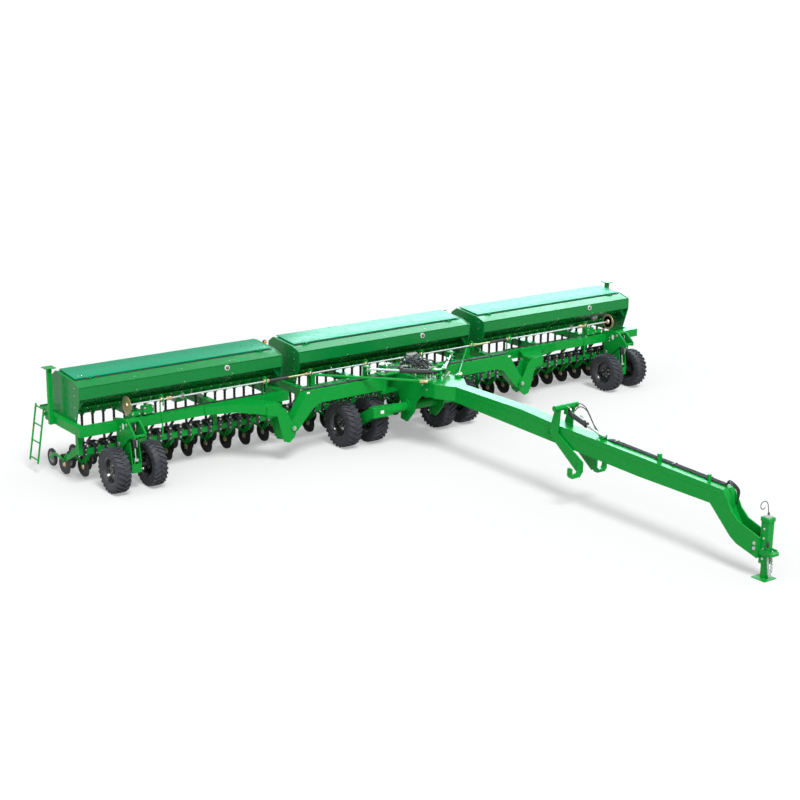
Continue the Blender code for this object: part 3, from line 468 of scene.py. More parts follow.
def ribbed_rubber():
    """Black rubber: bloomed grey on its high spots, and a fine skin."""
    tree, given, out = node_group(
        "black rubber", {"Rubber": (0.02, 0.02, 0.024, 1), "Bloom": (0.07, 0.07, 0.085, 1)},
        {"Blooming": 0.6, "Skin": 0.55},
    )
    place = object_place(tree)
    cloud = spread(tree, noise(tree, place, 7.0, 6.0, 0.7), 0.3, 0.7, 0.0, 1.0)
    share = times(tree, cloud, given["Blooming"])
    tree.links.new(mix(tree, share, given["Rubber"], given["Bloom"]), out["Colour"])
    tree.links.new(combine(tree, "ADD", given["Skin"], times(tree, cloud, 0.2)), out["Roughness"])
    tree.links.new(bump(tree, noise(tree, place, 190.0, 3.0), 0.35, 0.001), out["Normal"])
    return tree


rubber_effect = ribbed_rubber()
hose_rubber = finish("black hose", rubber_effect, {"Bloom": (0.045, 0.045, 0.05, 1), "Skin": 0.36})


def smooth_path(points, steps=6):
    """Points along one smooth curve through the given ones."""
    points = [Vector(p) for p in points]
    ends = [points[0] * 2 - points[1], *points, points[-1] * 2 - points[-2]]
    made = []
    for a, b, c, d in zip(ends, ends[1:], ends[2:], ends[3:]):
        for i in range(steps):
            t = i / steps
            square = 2 * a - 5 * b + 4 * c - d
            cube = 3 * b - a - 3 * c + d
            made.append(0.5 * (2 * b + (c - a) * t + square * t**2 + cube * t**3))
    return [*made, points[-1]]


def tube(work, path, radius, slot=0, sides=8, ribs=0.0):
    """A round tube along a path. Ribs swell every other ring, as on a seed tube."""
    part = bmesh.new()
    path = [Vector(p) for p in path]
    rings = []
    side_way = None
    for i, point in enumerate(path):
        along = (path[min(i + 1, len(path) - 1)] - path[max(i - 1, 0)]).normalized()
        if side_way is None:
            side_way = along.orthogonal().normalized()
        side_way = (side_way - along * side_way.dot(along)).normalized()
        other = along.cross(side_way)
        size = radius + (ribs if i % 2 else 0.0)
        rings.append([
            part.verts.new(point + (side_way * cos(a) + other * sin(a)) * size) for a in circle(sides)
        ])
    skinned(work, part, rings, slot)


def seed_tube_path(y_disc):
    return smooth_path(((0, 0.895, 1.095), (0, 0.895, 0.95), (0, 0.897, 0.8), (0, (0.9 + y_disc) / 2, 0.62),
        (0, y_disc + 0.045, 0.45), (0, y_disc + 0.05, 0.3)), 6)


def cup_mesh(y_disc):
    """One metering cup with its funnel, drive boss and tube."""
    work = bmesh.new()
    plate(work, ((-0.08, CUP_TOP), (0.08, CUP_TOP), (0.072, 1.188), (0.046, 1.168), (0.036, 1.13),
        (0.028, 1.088),
        (-0.028, 1.088), (-0.036, 1.13), (-0.046, 1.168), (-0.072, 1.188)), "Y", 0.862, 0.93, 0)
    plate(work, ((0.795, CUP_TOP), (0.815, CUP_TOP), (0.815, 1.13), (0.802, 1.14)), "X", -0.045, 0.045, 0)
    rod(work, (-0.05, 0.89, 1.16), (0.05, 0.89, 1.16), 0.026, 0, 12)
    rod(work, (0.04, 0.8, 1.165), (0.04, 0.78, 1.165), 0.01, 2, 8)
    rod(work, (0, 0.893, 1.1), (0, 0.897, 1.06), 0.03, 1, 12, 0.024)
    tube(work, seed_tube_path(y_disc), 0.0205, 1, 8, 0.0035)
    mesh = bpy.data.meshes.new("cup")
    work.to_mesh(mesh)
    work.free()
    return mesh


def repeated(units, places):
    """One shape of many copies; each place is (which unit, x)."""
    work = bmesh.new()
    for which, x in places:
        copy = units[which].copy()
        copy.transform(Matrix.Translation((x, 0, 0)))
        work.from_mesh(copy)
        bpy.data.meshes.remove(copy)
    return work


def rows_of(section):
    """(is it in the rear rank, x) of each row of a section."""
    if section == "centre":
        return [(i % 2 == 0, ROW_PITCH * (i + 0.5 - CENTRE_ROWS / 2)) for i in range(CENTRE_ROWS)]
    side = 1 if section == "left" else -1
    return [(i % 2 == 0, side * (2.19 + ROW_PITCH * i)) for i in range(WING_ROWS)]


cup_units = {False: cup_mesh(DISC_FRONT_Y), True: cup_mesh(DISC_REAR_Y)}
for section, body, low, high in BOXES:
    rows = [(rear, x) for rear, x in rows_of(section) if low + 0.07 < x < high - 0.07]
    cups = repeated(cup_units, rows)
    rod(cups, (low + 0.02, 0.89, 1.17), (high - 0.02, 0.89, 1.17), 0.011, 2, 6)
    block(cups, (low + 0.02, 0.972, 1.18), (high - 0.02, 1.0, CUP_TOP), 0)
    node = "centre_seed_cups" if section == "centre" else f"seed_cups_{section}"
    made = piece(f"{section}_metering_cups", cups, body, [frame_paint, hose_rubber, zinc])
    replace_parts(made, node)

# ---------------------------------------------------------------------------
# Openers: a double disc for each row, on a spring loaded arm under the toolbar.
# The discs are hardened boron steel, blacked, on cast hubs; a press wheel with
# a rubber tyre follows each, and its arm sets the sowing depth.
# ---------------------------------------------------------------------------

DISC_RADIUS = 0.172
DISC_Z = 0.215
PRESS_BACK = 0.49
PRESS_RADIUS = 0.15
PRESS_Z = 0.2
disc_steel = metal(
    "blacked disc steel", (0.035, 0.035, 0.038, 1), (0.1, 0.085, 0.07, 1), 0.35, 0.3, Metallic=0.6,
)
spring_black = metal(
    "spring black", (0.02, 0.02, 0.024, 1), (0.05, 0.05, 0.06, 1), 0.5, 0.26, Coat_Weight=0.4,
)


def turned(work, profile, centre, along, slot=0, steps=32, ring=False):
    """A profile of (radius, distance along) turned about an axis. A ring stays open in its middle."""
    part = bmesh.new()
    turn = Vector(along).to_track_quat("Z", "Y").to_matrix().to_4x4()
    place = Matrix.Translation(centre) @ turn
    rings = [
        [part.verts.new(place @ Vector((radius * cos(a), radius * sin(a),
            distance))) for a in circle(steps)]
        for radius, distance in profile
    ]
    skinned(work, part, rings, slot, ring)


def coil(work, start, end, radius, wire, turns, slot=0):
    """A closed and ground compression spring."""
    start, end = Vector(start), Vector(end)
    along = (end - start).normalized()
    side_way = along.orthogonal().normalized()
    other = along.cross(side_way)
    count = int(turns * 10)
    path = []
    for i in range(count + 1):
        angle = 2 * pi * turns * i / count
        swing = side_way * cos(angle) + other * sin(angle)
        path.append(start + (end - start) * i / count + swing * radius)
    tube(work, path, wire, slot, 5)


def opener_mesh(y_disc):
    """One row: clamp, spring, arm, two discs, scraper, press wheel and its fork."""
    work = bmesh.new()
    green, black, steel, plated, yellow, rubber, moulded = range(7)
    # clamp round the toolbar
    block(work, (-0.03, 0.43, 0.53), (0.03, 0.45, 0.7), black)
    block(work, (-0.03, 0.55, 0.53), (0.03, 0.585, 0.72), black)
    for z in (0.56, 0.64):
        bolt(work, (0.018, 0.431, z), (0, -1, 0), 0.009, plated, 0.01)
    # spring and its rod, over the toolbar
    rod(work, (0, 0.405, 0.745), (0, 0.7, 0.655), 0.009, plated, 8)
    bolt(work, (0, 0.408, 0.744), (0, -1, 0.3), 0.014, plated, 0.014)
    coil(work, (0, 0.43, 0.737), (0, 0.64, 0.674), 0.04, 0.012, 5.5, black)
    rod(work, (0, 0.64, 0.674), (0, 0.652, 0.67), 0.044, black, 14)
    # pull arm down to the disc
    plate(work, ((0.56, 0.69), (0.62, 0.69), (y_disc - 0.02, 0.34), (y_disc + 0.06, 0.33),
        (y_disc + 0.07, 0.27), (y_disc - 0.07, 0.28), (0.575, 0.56)), "X", -0.022, 0.022, green)
    # scraper struts, one to each disc, in a V
    for lean in (-1, 1):
        tube(work, [(lean * 0.012, y_disc - 0.06, 0.4), (lean * 0.04, y_disc - 0.035, 0.33),
            (lean * 0.046, y_disc + 0.01, 0.235)], 0.011, green, 6)
        middle = Vector((lean * 0.02, y_disc, DISC_Z))
        way = Vector((lean, -0.1, 0)).normalized()
        turned(work, ((0.004, 0.003), (DISC_RADIUS * 0.62, 0.003), (DISC_RADIUS * 0.9, 0.0026),
            (DISC_RADIUS, 0.0004),
            (DISC_RADIUS, -0.0004), (DISC_RADIUS * 0.9, -0.0014), (0.004, -0.0014)), middle, way, steel, 40)
        turned(work, ((0.046, 0.0), (0.044, 0.012), (0.034, 0.017), (0.022, 0.024), (0.01, 0.026)), middle,
            way, yellow, 16)
        for k in range(4):
            angle = pi / 4 + k * pi / 2
            spot = middle + Vector((lean * 0.004, 0.06 * cos(angle), 0.06 * sin(angle)))
            rod(work, spot, spot + way * 0.008, 0.006, plated, 6)
    # press wheel on its fork
    wheel = (0, y_disc + PRESS_BACK, PRESS_Z)
    plate(work, ((y_disc + 0.02, 0.33), (y_disc + 0.3, 0.35), (wheel[1] + 0.02, PRESS_Z + 0.02),
        (wheel[1] - 0.03, PRESS_Z - 0.02),
        (y_disc + 0.28, 0.3), (y_disc + 0.02, 0.28)), "X", -0.052, -0.042, green)
    rod(work, (-0.052, wheel[1], PRESS_Z), (0.03, wheel[1], PRESS_Z), 0.01, plated, 8)
    turned(work, ((0.098, -0.022), (0.12, -0.027), (0.14, -0.024), (PRESS_RADIUS, -0.01),
        (PRESS_RADIUS, 0.01),
        (0.14, 0.024), (0.12, 0.027), (0.098, 0.022)), wheel, (1, 0, 0), rubber, 36, True)
    turned(work, ((0.02, -0.018), (0.045, -0.016), (0.052, -0.006), (0.088, -0.006), (0.1, -0.018),
        (0.1, 0.018),
        (0.088, 0.006), (0.052, 0.006), (0.045, 0.016), (0.02, 0.018)), wheel, (1, 0, 0), moulded, 30, True)
    mesh = bpy.data.meshes.new("opener")
    work.to_mesh(mesh)
    work.free()
    return mesh


opener_units = {False: opener_mesh(DISC_FRONT_Y), True: opener_mesh(DISC_REAR_Y)}
press_tyre = finish("press wheel rubber", rubber_effect, {"Bloom": (0.06, 0.06, 0.065, 1), "Skin": 0.5})
for section, body, low, high in BOXES:
    rows = rows_of(section)
    gang = repeated(opener_units, rows)
    edges = sorted(x for _, x in rows)
    bar_low, bar_high = {"centre": (-2.03, 2.03), "left": (2.13, 6.1), "right": (-6.1, -2.13)}[section]
    block(gang, (bar_low, 0.45, 0.55), (bar_high, 0.55, 0.65), 0, 0.008)
    for i in range(len(edges) - 1):
        x = (edges[i] + edges[i + 1]) / 2
        bolt(gang, (x, 0.5, 0.65), (0, 0, 1), 0.011, 3, 0.014)
    node = "centre_openers" if section == "centre" else f"openers_{section}"
    made = piece(
        f"{section}_opener_gang", gang, body,
        [frame_paint, spring_black, disc_steel, zinc, brass, press_tyre, grey_plastic],
    )
    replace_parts(made, node)

# ---------------------------------------------------------------------------
# Meter drive: plated shafts along the front of the boxes, in flange bearings
# on green hanger straps. A drive disc stands on the outer end of each wing's
# shaft, and a sliding shaft with a rubber boot crosses each gap between boxes.
# ---------------------------------------------------------------------------

SHAFT_Y = 0.285
SHAFT_Z = 1.3
shaft_steel = metal(
    "plated drive shaft", (0.82, 0.83, 0.84, 1), (0.55, 0.55, 0.53, 1), 0.35, 0.2, Metallic=0.7,
)


def bearing(work, x, foot=1.052):
    """A flange bearing on an arched strap that stands on the frame's front beam."""
    arch = []
    for i in range(9):
        a = pi * i / 8
        arch.append((x, SHAFT_Y + 0.052 * cos(a), SHAFT_Z + 0.028 + 0.052 * sin(a)))
    path = [(x, SHAFT_Y + 0.052, foot), (x, SHAFT_Y + 0.052, SHAFT_Z - 0.05), *arch,
        (x, SHAFT_Y - 0.052, SHAFT_Z - 0.05), (x, SHAFT_Y - 0.052, SHAFT_Z - 0.09)]
    tube(work, path, 0.011, 1, 8)
    block(work, (x - 0.014, SHAFT_Y - 0.06, SHAFT_Z - 0.01), (x + 0.014, SHAFT_Y + 0.06, SHAFT_Z + 0.01), 1)
    turned(work, ((0.04, -0.018), (0.044, -0.008), (0.044, 0.008), (0.04, 0.018)), (x, SHAFT_Y, SHAFT_Z),
        (1, 0, 0), 2, 20)
    for lean in (-1, 1):
        bolt(work, (x + 0.014, SHAFT_Y + lean * 0.05, SHAFT_Z), (1, 0, 0), 0.008, 0, 0.01)


for hand, side in SIDES:
    drive = bmesh.new()
    rod(drive, (side * 2.66, SHAFT_Y, SHAFT_Z), (side * 5.315, SHAFT_Y, SHAFT_Z), 0.0135, 0, 12)
    for x in (2.72, 4.69):
        bearing(drive, side * x)
    turned(drive, ((0.026, -0.05), (0.034, -0.045), (0.034, -0.01), (0.024, 0.0), (0.034, 0.01),
        (0.034, 0.045), (0.026, 0.05)), (side * 4.56, SHAFT_Y, SHAFT_Z), (1, 0, 0), 2, 20)
    # the outer strap runs down across the front beam to a bolted foot
    block(drive, (side * 4.675, 0.262, 0.7), (side * 4.705, 0.272, 1.1), 1)
    block(drive, (side * 4.655, 0.24, 0.69), (side * 4.725, 0.275, 0.706), 1)
    # drive gearbox on the beam, with its plated shaft ends and cover screws
    block(drive, (side * 4.8, 0.33, 1.072), (side * 5.0, 0.45, 1.215), 1, 0.015)
    block(drive, (side * 5.02, 0.35, 1.072), (side * 5.22, 0.43, 1.15), 1, 0.012)
    for x, z in ((4.83, 1.1), (4.97, 1.1), (4.83, 1.19), (4.97, 1.19), (5.06, 1.11), (5.18, 1.11)):
        bolt(drive, (side * x, 0.331 if x < 5 else 0.351, z), (0, -1, 0), 0.011, 3, 0.01)
    rod(drive, (side * 4.9, 0.385, 1.215), (side * 4.9, 0.385, 1.262), 0.018, 3, 10)
    rod(drive, (side * 5.0, 0.385, 1.13), (side * 5.3, 0.385, 1.13), 0.014, 3, 10)
    # the thin drive disc, with its hub
    disc_x = side * 5.315
    turned(drive, ((0.15, -0.004), (0.153, 0.0), (0.15, 0.004), (0.11, 0.007), (0.05, 0.007),
        (0.046, 0.022), (0.022, 0.024)), (disc_x, SHAFT_Y, SHAFT_Z), (side, 0, 0), 2, 48)
    turned(drive, ((0.11, -0.006), (0.05, -0.006), (0.04, -0.03), (0.022, -0.034)),
        (disc_x, SHAFT_Y, SHAFT_Z), (side, 0, 0), 2, 48)
    for k in range(6):
        a = radians(60 * k)
        spot = (disc_x + side * 0.007, SHAFT_Y + 0.085 * cos(a), SHAFT_Z + 0.085 * sin(a))
        rod(drive, spot, (spot[0] + side * 0.004, spot[1], spot[2]), 0.009, 1, 10)
    # chain case and sprockets from the shaft back to the cup drive
    for offset, size in ((0.0, 0.06), (0.02, 0.045), (0.04, 0.032)):
        x = side * (4.3 + offset)
        sprocket = ((size - 0.008, -0.005), (size, -0.002), (size, 0.002), (size - 0.008, 0.005))
        for y, z in ((SHAFT_Y, SHAFT_Z), (SHAFT_Y + 0.3, SHAFT_Z - 0.115)):
            turned(drive, sprocket, (x, y, z), (1, 0, 0), 3, 18)
    plate(drive, ((SHAFT_Y - 0.03, SHAFT_Z - 0.07), (SHAFT_Y + 0.06, SHAFT_Z + 0.02),
        (SHAFT_Y + 0.38, SHAFT_Z - 0.07),
        (SHAFT_Y + 0.42, SHAFT_Z - 0.14), (SHAFT_Y + 0.3, SHAFT_Z - 0.19)), "X", side * 4.23,
        side * 4.242, 1)
    piece(f"{hand}_meter_drive", drive, "wing_" + hand, [shaft_steel, frame_paint, brass, zinc])

    boot = bmesh.new()
    ribs = [(side * (2.26 + 0.4 * i / 40), SHAFT_Y, SHAFT_Z) for i in range(41)]
    tube(boot, ribs, 0.025, 0, 14, 0.004)
    rod(boot, (side * 2.645, SHAFT_Y, SHAFT_Z), (side * 2.68, SHAFT_Y, SHAFT_Z), 0.032, 1, 12)
    piece(f"{hand}_shaft_boot", boot, "wing_" + hand, [hose_rubber, brass])

    slide = bmesh.new()
    rod(slide, (side * 1.88, SHAFT_Y, SHAFT_Z), (side * 2.245, SHAFT_Y, SHAFT_Z), 0.017, 1, 6)
    rod(slide, (side * 1.86, SHAFT_Y, SHAFT_Z), (side * 1.9, SHAFT_Y, SHAFT_Z), 0.03, 1, 12)
    piece(f"{hand}_sliding_shaft", slide, "main_frame", [zinc, brass])

centre_drive = bmesh.new()
rod(centre_drive, (-1.9, SHAFT_Y, SHAFT_Z), (1.9, SHAFT_Y, SHAFT_Z), 0.0135, 0, 12)
for x in (-1.8, -0.62, 0.62, 1.8):
    bearing(centre_drive, x)
block(centre_drive, (0.3, 0.24, 1.245), (0.52, 0.33, 1.355), 3, 0.012)
for z in (1.27, 1.33):
    bolt(centre_drive, (0.41, 0.241, z), (0, -1, 0), 0.01, 0, 0.01)
piece("centre_meter_drive", centre_drive, "main_frame", [shaft_steel, frame_paint, brass, grey_plastic])

# ---------------------------------------------------------------------------
# Carrying wheels: eight implement tyres in four pairs, on black dished rims.
# The tread is a chevron of deep rubber bars. Each rim is a spun steel dish,
# welded into the rolled rim and bolted to its hub with six nuts.
# ---------------------------------------------------------------------------

tyre_rubber = finish(
    "tyre rubber", rubber_effect,
    {"Rubber": (0.024, 0.024, 0.03, 1), "Bloom": (0.058, 0.06, 0.074, 1), "Blooming": 0.75, "Skin": 0.5},
)
rim_black = metal(
    "rim black", (0.014, 0.014, 0.015, 1), (0.04, 0.04, 0.042, 1), 0.5, 0.14, Coat_Weight=0.8,
    Coat_Roughness=0.05,
)


def tyre_shape(radius, width, rim, centre, outward):
    """Carcass and tread bars of one tyre, its axle along x."""
    work = bmesh.new()
    half = width / 2
    base = radius - 0.024
    profile = (
        (rim - 0.012, -half * 0.7), (rim + 0.006, -half * 0.8), (rim + 0.02, -half * 0.84),
        (rim + 0.03, -half * 0.93),
        (rim + 0.45 * (base - rim), -half), (rim + 0.75 * (base - rim), -half * 0.985),
        (base - 0.02, -half * 0.93),
        (base - 0.002, -half * 0.84), (base + 0.002, -half * 0.4), (base + 0.003, 0),
        (base + 0.002, half * 0.4), (base - 0.002, half * 0.84), (base - 0.02, half * 0.93),
        (rim + 0.75 * (base - rim), half * 0.985), (rim + 0.45 * (base - rim), half),
        (rim + 0.03, half * 0.93),
        (rim + 0.02, half * 0.84), (rim + 0.006, half * 0.8), (rim - 0.012, half * 0.7), (rim - 0.014, 0),
    )
    part = bmesh.new()
    rings = [[part.verts.new((x, r * cos(a), r * sin(a))) for a in circle(72)] for r, x in profile]
    skinned(work, part, rings, 0, True)
    # tread bars: each leans round the tyre from the middle to the shoulder, then turns down the side
    bars = 26
    for lean in (-1, 1):
        for k in range(bars):
            start = 2 * pi * (k + (0.5 if lean > 0 else 0.0)) / bars
            stations = (
                (-0.012, 0.0, radius, 0.3), (0.3, 0.1, radius, 0.32), (0.62, 0.27, radius - 0.001, 0.36),
                (0.9, 0.42, radius - 0.005, 0.42), (0.985, 0.46, radius - 0.03, 0.44),
                (1.0, 0.47, radius - 0.055, 0.4),
            )
            bar = bmesh.new()
            loops = []
            for across, swing, top, thick in stations:
                x = lean * across * half
                angle = start + swing * 2 * pi / bars * 1.6
                spread_angle = thick * pi / bars
                foot = min(base - 0.004, top - 0.014)
                loops.append([
                    bar.verts.new((x, r * cos(a), r * sin(a)))
                    for a, r in ((angle - spread_angle * 1.25, foot), (angle - spread_angle, top),
                        (angle + spread_angle, top), (angle + spread_angle * 1.25, foot))
                ])
            skinned(work, bar, loops, 0)
    bmesh.ops.rotate(work, verts=work.verts, cent=(0, 0, 0),
        matrix=Matrix.Rotation(0.0 if outward > 0 else pi, 3, "Z"))
    bmesh.ops.translate(work, verts=work.verts, vec=centre)
    return work


def rim_shape(width, rim, centre, outward):
    """The rolled rim, its dish, hub, nuts and valve, the open side facing outward."""
    work = bmesh.new()
    half = width / 2
    o = outward
    turned(work, (
        (rim + 0.02, half * 0.84), (rim + 0.022, half * 0.8), (rim + 0.008, half * 0.78),
        (rim - 0.002, half * 0.7),
        (rim - 0.012, half * 0.4), (rim - 0.022, half * 0.1), (rim - 0.012, -half * 0.5),
        (rim + 0.006, -half * 0.78),
        (rim + 0.02, -half * 0.84), (rim + 0.014, -half * 0.86), (rim - 0.004, -half * 0.8),
        (rim - 0.02, -half * 0.5),
        (rim - 0.03, half * 0.08), (rim - 0.06, half * 0.02), (rim * 0.52, -half * 0.06),
        (rim * 0.46, half * 0.04),
        (0.03, half * 0.04), (0.03, half * 0.12), (rim * 0.48, half * 0.12), (rim * 0.54, half * 0.02),
        (rim - 0.064, half * 0.12), (rim - 0.034, half * 0.16), (rim - 0.022, half * 0.42),
        (rim - 0.012, half * 0.72), (rim + 0.01, half * 0.86),
    ), centre, (o, 0, 0), 0, 48, True)
    turned(work, ((0.055, half * 0.05), (0.055, half * 0.34), (0.044, half * 0.42), (0.026, half * 0.44),
        (0.01, half * 0.46)), centre, (o, 0, 0), 0, 24)
    for k in range(6):
        a = radians(60 * k + 15)
        spot = Vector((centre[0] + o * half * 0.12, centre[1] + 0.08 * cos(a), centre[2] + 0.08 * sin(a)))
        bolt(work, spot, (o, 0, 0), 0.012, 1, 0.02)
    valve = Vector((centre[0] + o * half * 0.16, centre[1] + (rim - 0.05), centre[2]))
    rod(work, valve, valve + Vector((o * 0.035, 0, 0)), 0.005, 1, 8)
    return work


WING_LEG_X = 5.3835
WHEELS = (
    ("wing", WING_LEG_X, 0.3245, 0.0, 0.369, 0.24, 0.2), ("centre", 1.0405, 0.2845, -0.048, 0.4, 0.28, 0.2),
)
AXLE_RADIUS = 0.04
for group_name, middle, half_track, y, radius, width, rim in WHEELS:
    for hand, side in SIDES:
        for place, outward in (("inner", -1), ("outer", 1)):
            centre = (side * (middle + outward * half_track), y, radius)
            node = f"{group_name}_{hand}_tyre_{place}"
            body = f"{group_name}_wheels_{hand}"
            out = side * outward
            tyre = piece(node + "_tread", tyre_shape(radius, width, rim, centre, out), body, [tyre_rubber],
                30)
            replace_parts(tyre, node)
            shape = rim_shape(width, rim, centre, out)
            if group_name == "centre" and place == "outer":
                block(shape, (centre[0] + out * 0.03, y - 0.06, radius - 0.09),
                    (centre[0] + out * 0.04, y, radius - 0.045), 2)
                block(shape, (centre[0] + out * 0.03, y, radius - 0.09),
                    (centre[0] + out * 0.04, y + 0.03, radius - 0.045), 3)
            piece(node + "_rim", shape, body, [rim_black, zinc, white_plastic, brass])
        axle = bmesh.new()
        reach = half_track - width * 0.06
        rod(axle, (side * middle - reach, y, radius), (side * middle + reach, y, radius), AXLE_RADIUS, 0, 20)
        for out in (-1, 1):
            hub = side * middle + out * reach
            rod(axle, (hub - out * 0.045, y, radius), (hub, y, radius), 0.075, 0, 24, 0.085)
        node = f"{group_name}_{hand}_axle"
        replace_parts(piece(node + "_hubs", axle, f"{group_name}_wheels_{hand}", [spring_black]), node)

# ---------------------------------------------------------------------------
# Rams: welded barrels sprayed black, with ground and chromed rods.
# Each barrel has two ports, with crimped fittings where its hoses screw in.
# ---------------------------------------------------------------------------

ram_black = finish(
    "ram black", paint_effect,
    {"Paint": (0.012, 0.012, 0.014, 1), "Shade": (0.025, 0.025, 0.028, 1), "Dustiness": 0.2, "Gloss": 0.28},
    Coat_Weight=0.5,
)
chrome = metal("chromed rod", (0.86, 0.87, 0.88, 1), (0.7, 0.7, 0.7, 1), 0.3, 0.08, Metallic=1.0)
RAMS = ["hook_ram"]
for hand, side in SIDES:
    RAMS += ["fold_ram_" + hand, "leg_ram_" + hand]
for ram in RAMS:
    dressed(ram + "_barrel", ram_black, 0.002)
    dressed(ram + "_rod", chrome, 0.001)


def ram_ports(name, start, end, up, barrel, radius):
    """Ports and fittings on top of a barrel that runs from start towards end."""
    start, end, up = Vector(start), Vector(end), Vector(up).normalized()
    along = (end - start).normalized()
    work = bmesh.new()
    for distance in (0.1, barrel - 0.035):
        spot = start + along * distance
        rod(work, spot + up * (radius - 0.006), spot + up * (radius + 0.016), 0.015, 0, 10)
        bend = [spot + up * (radius + 0.01), spot + up * (radius + 0.034),
            spot + up * (radius + 0.048) - along * 0.022, spot + up * (radius + 0.05) - along * 0.06]
        tube(work, bend, 0.01, 1, 8)
        tube(work, [bend[-1], bend[-1] - along * 0.045], 0.013, 1, 6)
    turned(work, ((radius + 0.001, -0.012), (radius + 0.006, -0.008), (radius + 0.006, 0.008),
        (radius + 0.001, 0.012)), start + along * (barrel - 0.012), along, 0, 24)
    return piece(name, work, None, [ram_black, zinc, brass])


PORTED = [("hook_ram", (0, -4.25, 1.42), (0, -5.07, 1.22), (0, 0.24, 1), 0.46)]
for hand, side in SIDES:
    leg_x = side * WING_LEG_X
    PORTED += [
        ("fold_ram_" + hand, (side * 0.09, -1.03, 1.36), (side * 0.93, -0.2, 1.36), (0, 0, 1), 0.62),
        ("leg_ram_" + hand, (leg_x, -0.02, 1.08), (leg_x, -0.1, 0.5), (0, -1, 0.1), 0.39),
    ]
for ram, start, end, up, barrel in PORTED:
    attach(ram_ports(ram + "_ports", start, end, up, barrel, 0.042), ram + "_barrel")

# ---------------------------------------------------------------------------
# Walkboards: folded tread plate across the back of each section.
# The raised bars are rolled into the steel, and shine where boots have worn them.
# ---------------------------------------------------------------------------


def tread_pattern():
    """Raised lozenges in a basket pattern, with their tops worn bright."""
    tree, given, out = node_group(
        "tread plate", {"Paint": (0.004, 0.21, 0.032, 1), "Worn": (0.2, 0.33, 0.21, 1)}, {"Pitch": 22.0},
    )
    place = object_place(tree)
    waves = []
    for turn in (45, -45):
        turned_place = tree.nodes.new("ShaderNodeMapping")
        turned_place.inputs["Rotation"].default_value = (0, 0, radians(turn))
        tree.links.new(place, turned_place.inputs["Vector"])
        wave = tree.nodes.new("ShaderNodeTexWave")
        tree.links.new(turned_place.outputs[0], wave.inputs["Vector"])
        tree.links.new(given["Pitch"], wave.inputs["Scale"])
        waves.append(wave.outputs["Fac"])
    raised = spread(tree, times(tree, waves[0], waves[1]), 0.45, 0.6, 0.0, 1.0)
    scuffs = spread(tree, noise(tree, place, 5.0, 5.0), 0.45, 0.7, 0.0, 1.0)
    tree.links.new(mix(tree, times(tree, raised, scuffs), given["Paint"], given["Worn"]), out["Colour"])
    tree.links.new(spread(tree, raised, 0.0, 1.0, 0.5, 0.3), out["Roughness"])
    tree.links.new(bump(tree, raised, 0.8, 0.003), out["Normal"])
    return tree


tread_plate = finish("tread plate", tread_pattern(), {})
for node in ("centre_walkboard", "walkboard_left", "walkboard_right"):
    dressed(node, tread_plate, 0.004)

# ---------------------------------------------------------------------------
# Hub manifold and hoses: the valve blocks that share oil between the rams.
# They sit on the hub's top plate, and rubber hoses run from them along the
# arms and the tongue, held by straps.
# ---------------------------------------------------------------------------

HOSE = 0.0095
chance = random.Random(7)
manifold = bmesh.new()
block(manifold, (-0.24, -0.62, 1.24), (0.02, -0.5, 1.315), 0, 0.006)
block(manifold, (0.06, -0.46, 1.24), (0.27, -0.36, 1.3), 1, 0.006)
block(manifold, (-0.26, -0.28, 1.24), (-0.06, -0.18, 1.295), 0, 0.006)
for i in range(7):
    x = -0.22 + i * 0.038
    rod(manifold, (x, -0.56, 1.312), (x, -0.56, 1.345), 0.012, 2, 6)
    rod(manifold, (x, -0.56, 1.34), (x, -0.56, 1.372), 0.009, chance.choice((1, 2, 3)), 8)
for i in range(5):
    x = 0.08 + i * 0.04
    rod(manifold, (x, -0.41, 1.296), (x, -0.41, 1.335), 0.012, chance.choice((1, 2)), 6)
for i in range(5):
    x = -0.24 + i * 0.038
    rod(manifold, (x, -0.23, 1.292), (x, -0.23, 1.325), 0.011, chance.choice((1, 3)), 6)
piece("oil_manifold", manifold, "main_frame", [spring_black, zinc, brass, white_plastic])

hub_hoses = bmesh.new()
for i in range(26):
    from_front = i % 2 == 0
    start = Vector((-0.22 + 0.038 * (i % 7), -0.56 if from_front else -0.23, 1.36 if from_front else 1.32))
    end = Vector((chance.uniform(-0.28, 0.28), chance.uniform(-1.15, 0.1), 1.258))
    top = (start + end) / 2 + Vector((chance.uniform(-0.1, 0.1), chance.uniform(-0.12, 0.12),
        chance.uniform(0.08, 0.2)))
    side_way = (end - start) * 0.25
    bend = (start, start + Vector((0, 0, 0.05)), top - side_way * 0.6, top + side_way * 0.6,
        end + Vector((0, 0, 0.06)), end)
    tube(hub_hoses, smooth_path(bend, 5), HOSE, 0, 8)
    rod(hub_hoses, end - Vector((0, 0, 0.012)), end + Vector((0, 0, 0.055)), 0.015,
        chance.choice((1, 1, 2, 3)), 6)
for i in range(34):
    foot = Vector((chance.uniform(-0.28, 0.28), chance.uniform(-1.1, 0.12), 1.243))
    tip = foot + Vector((chance.uniform(-0.05, 0.05), chance.uniform(-0.05, 0.05),
        chance.uniform(0.03, 0.09)))
    rod(hub_hoses, foot, tip, 0.012, chance.choice((1, 1, 2, 3)), 6)
piece("hub_hoses", hub_hoses, "main_frame", [hose_rubber, zinc, brass, white_plastic])

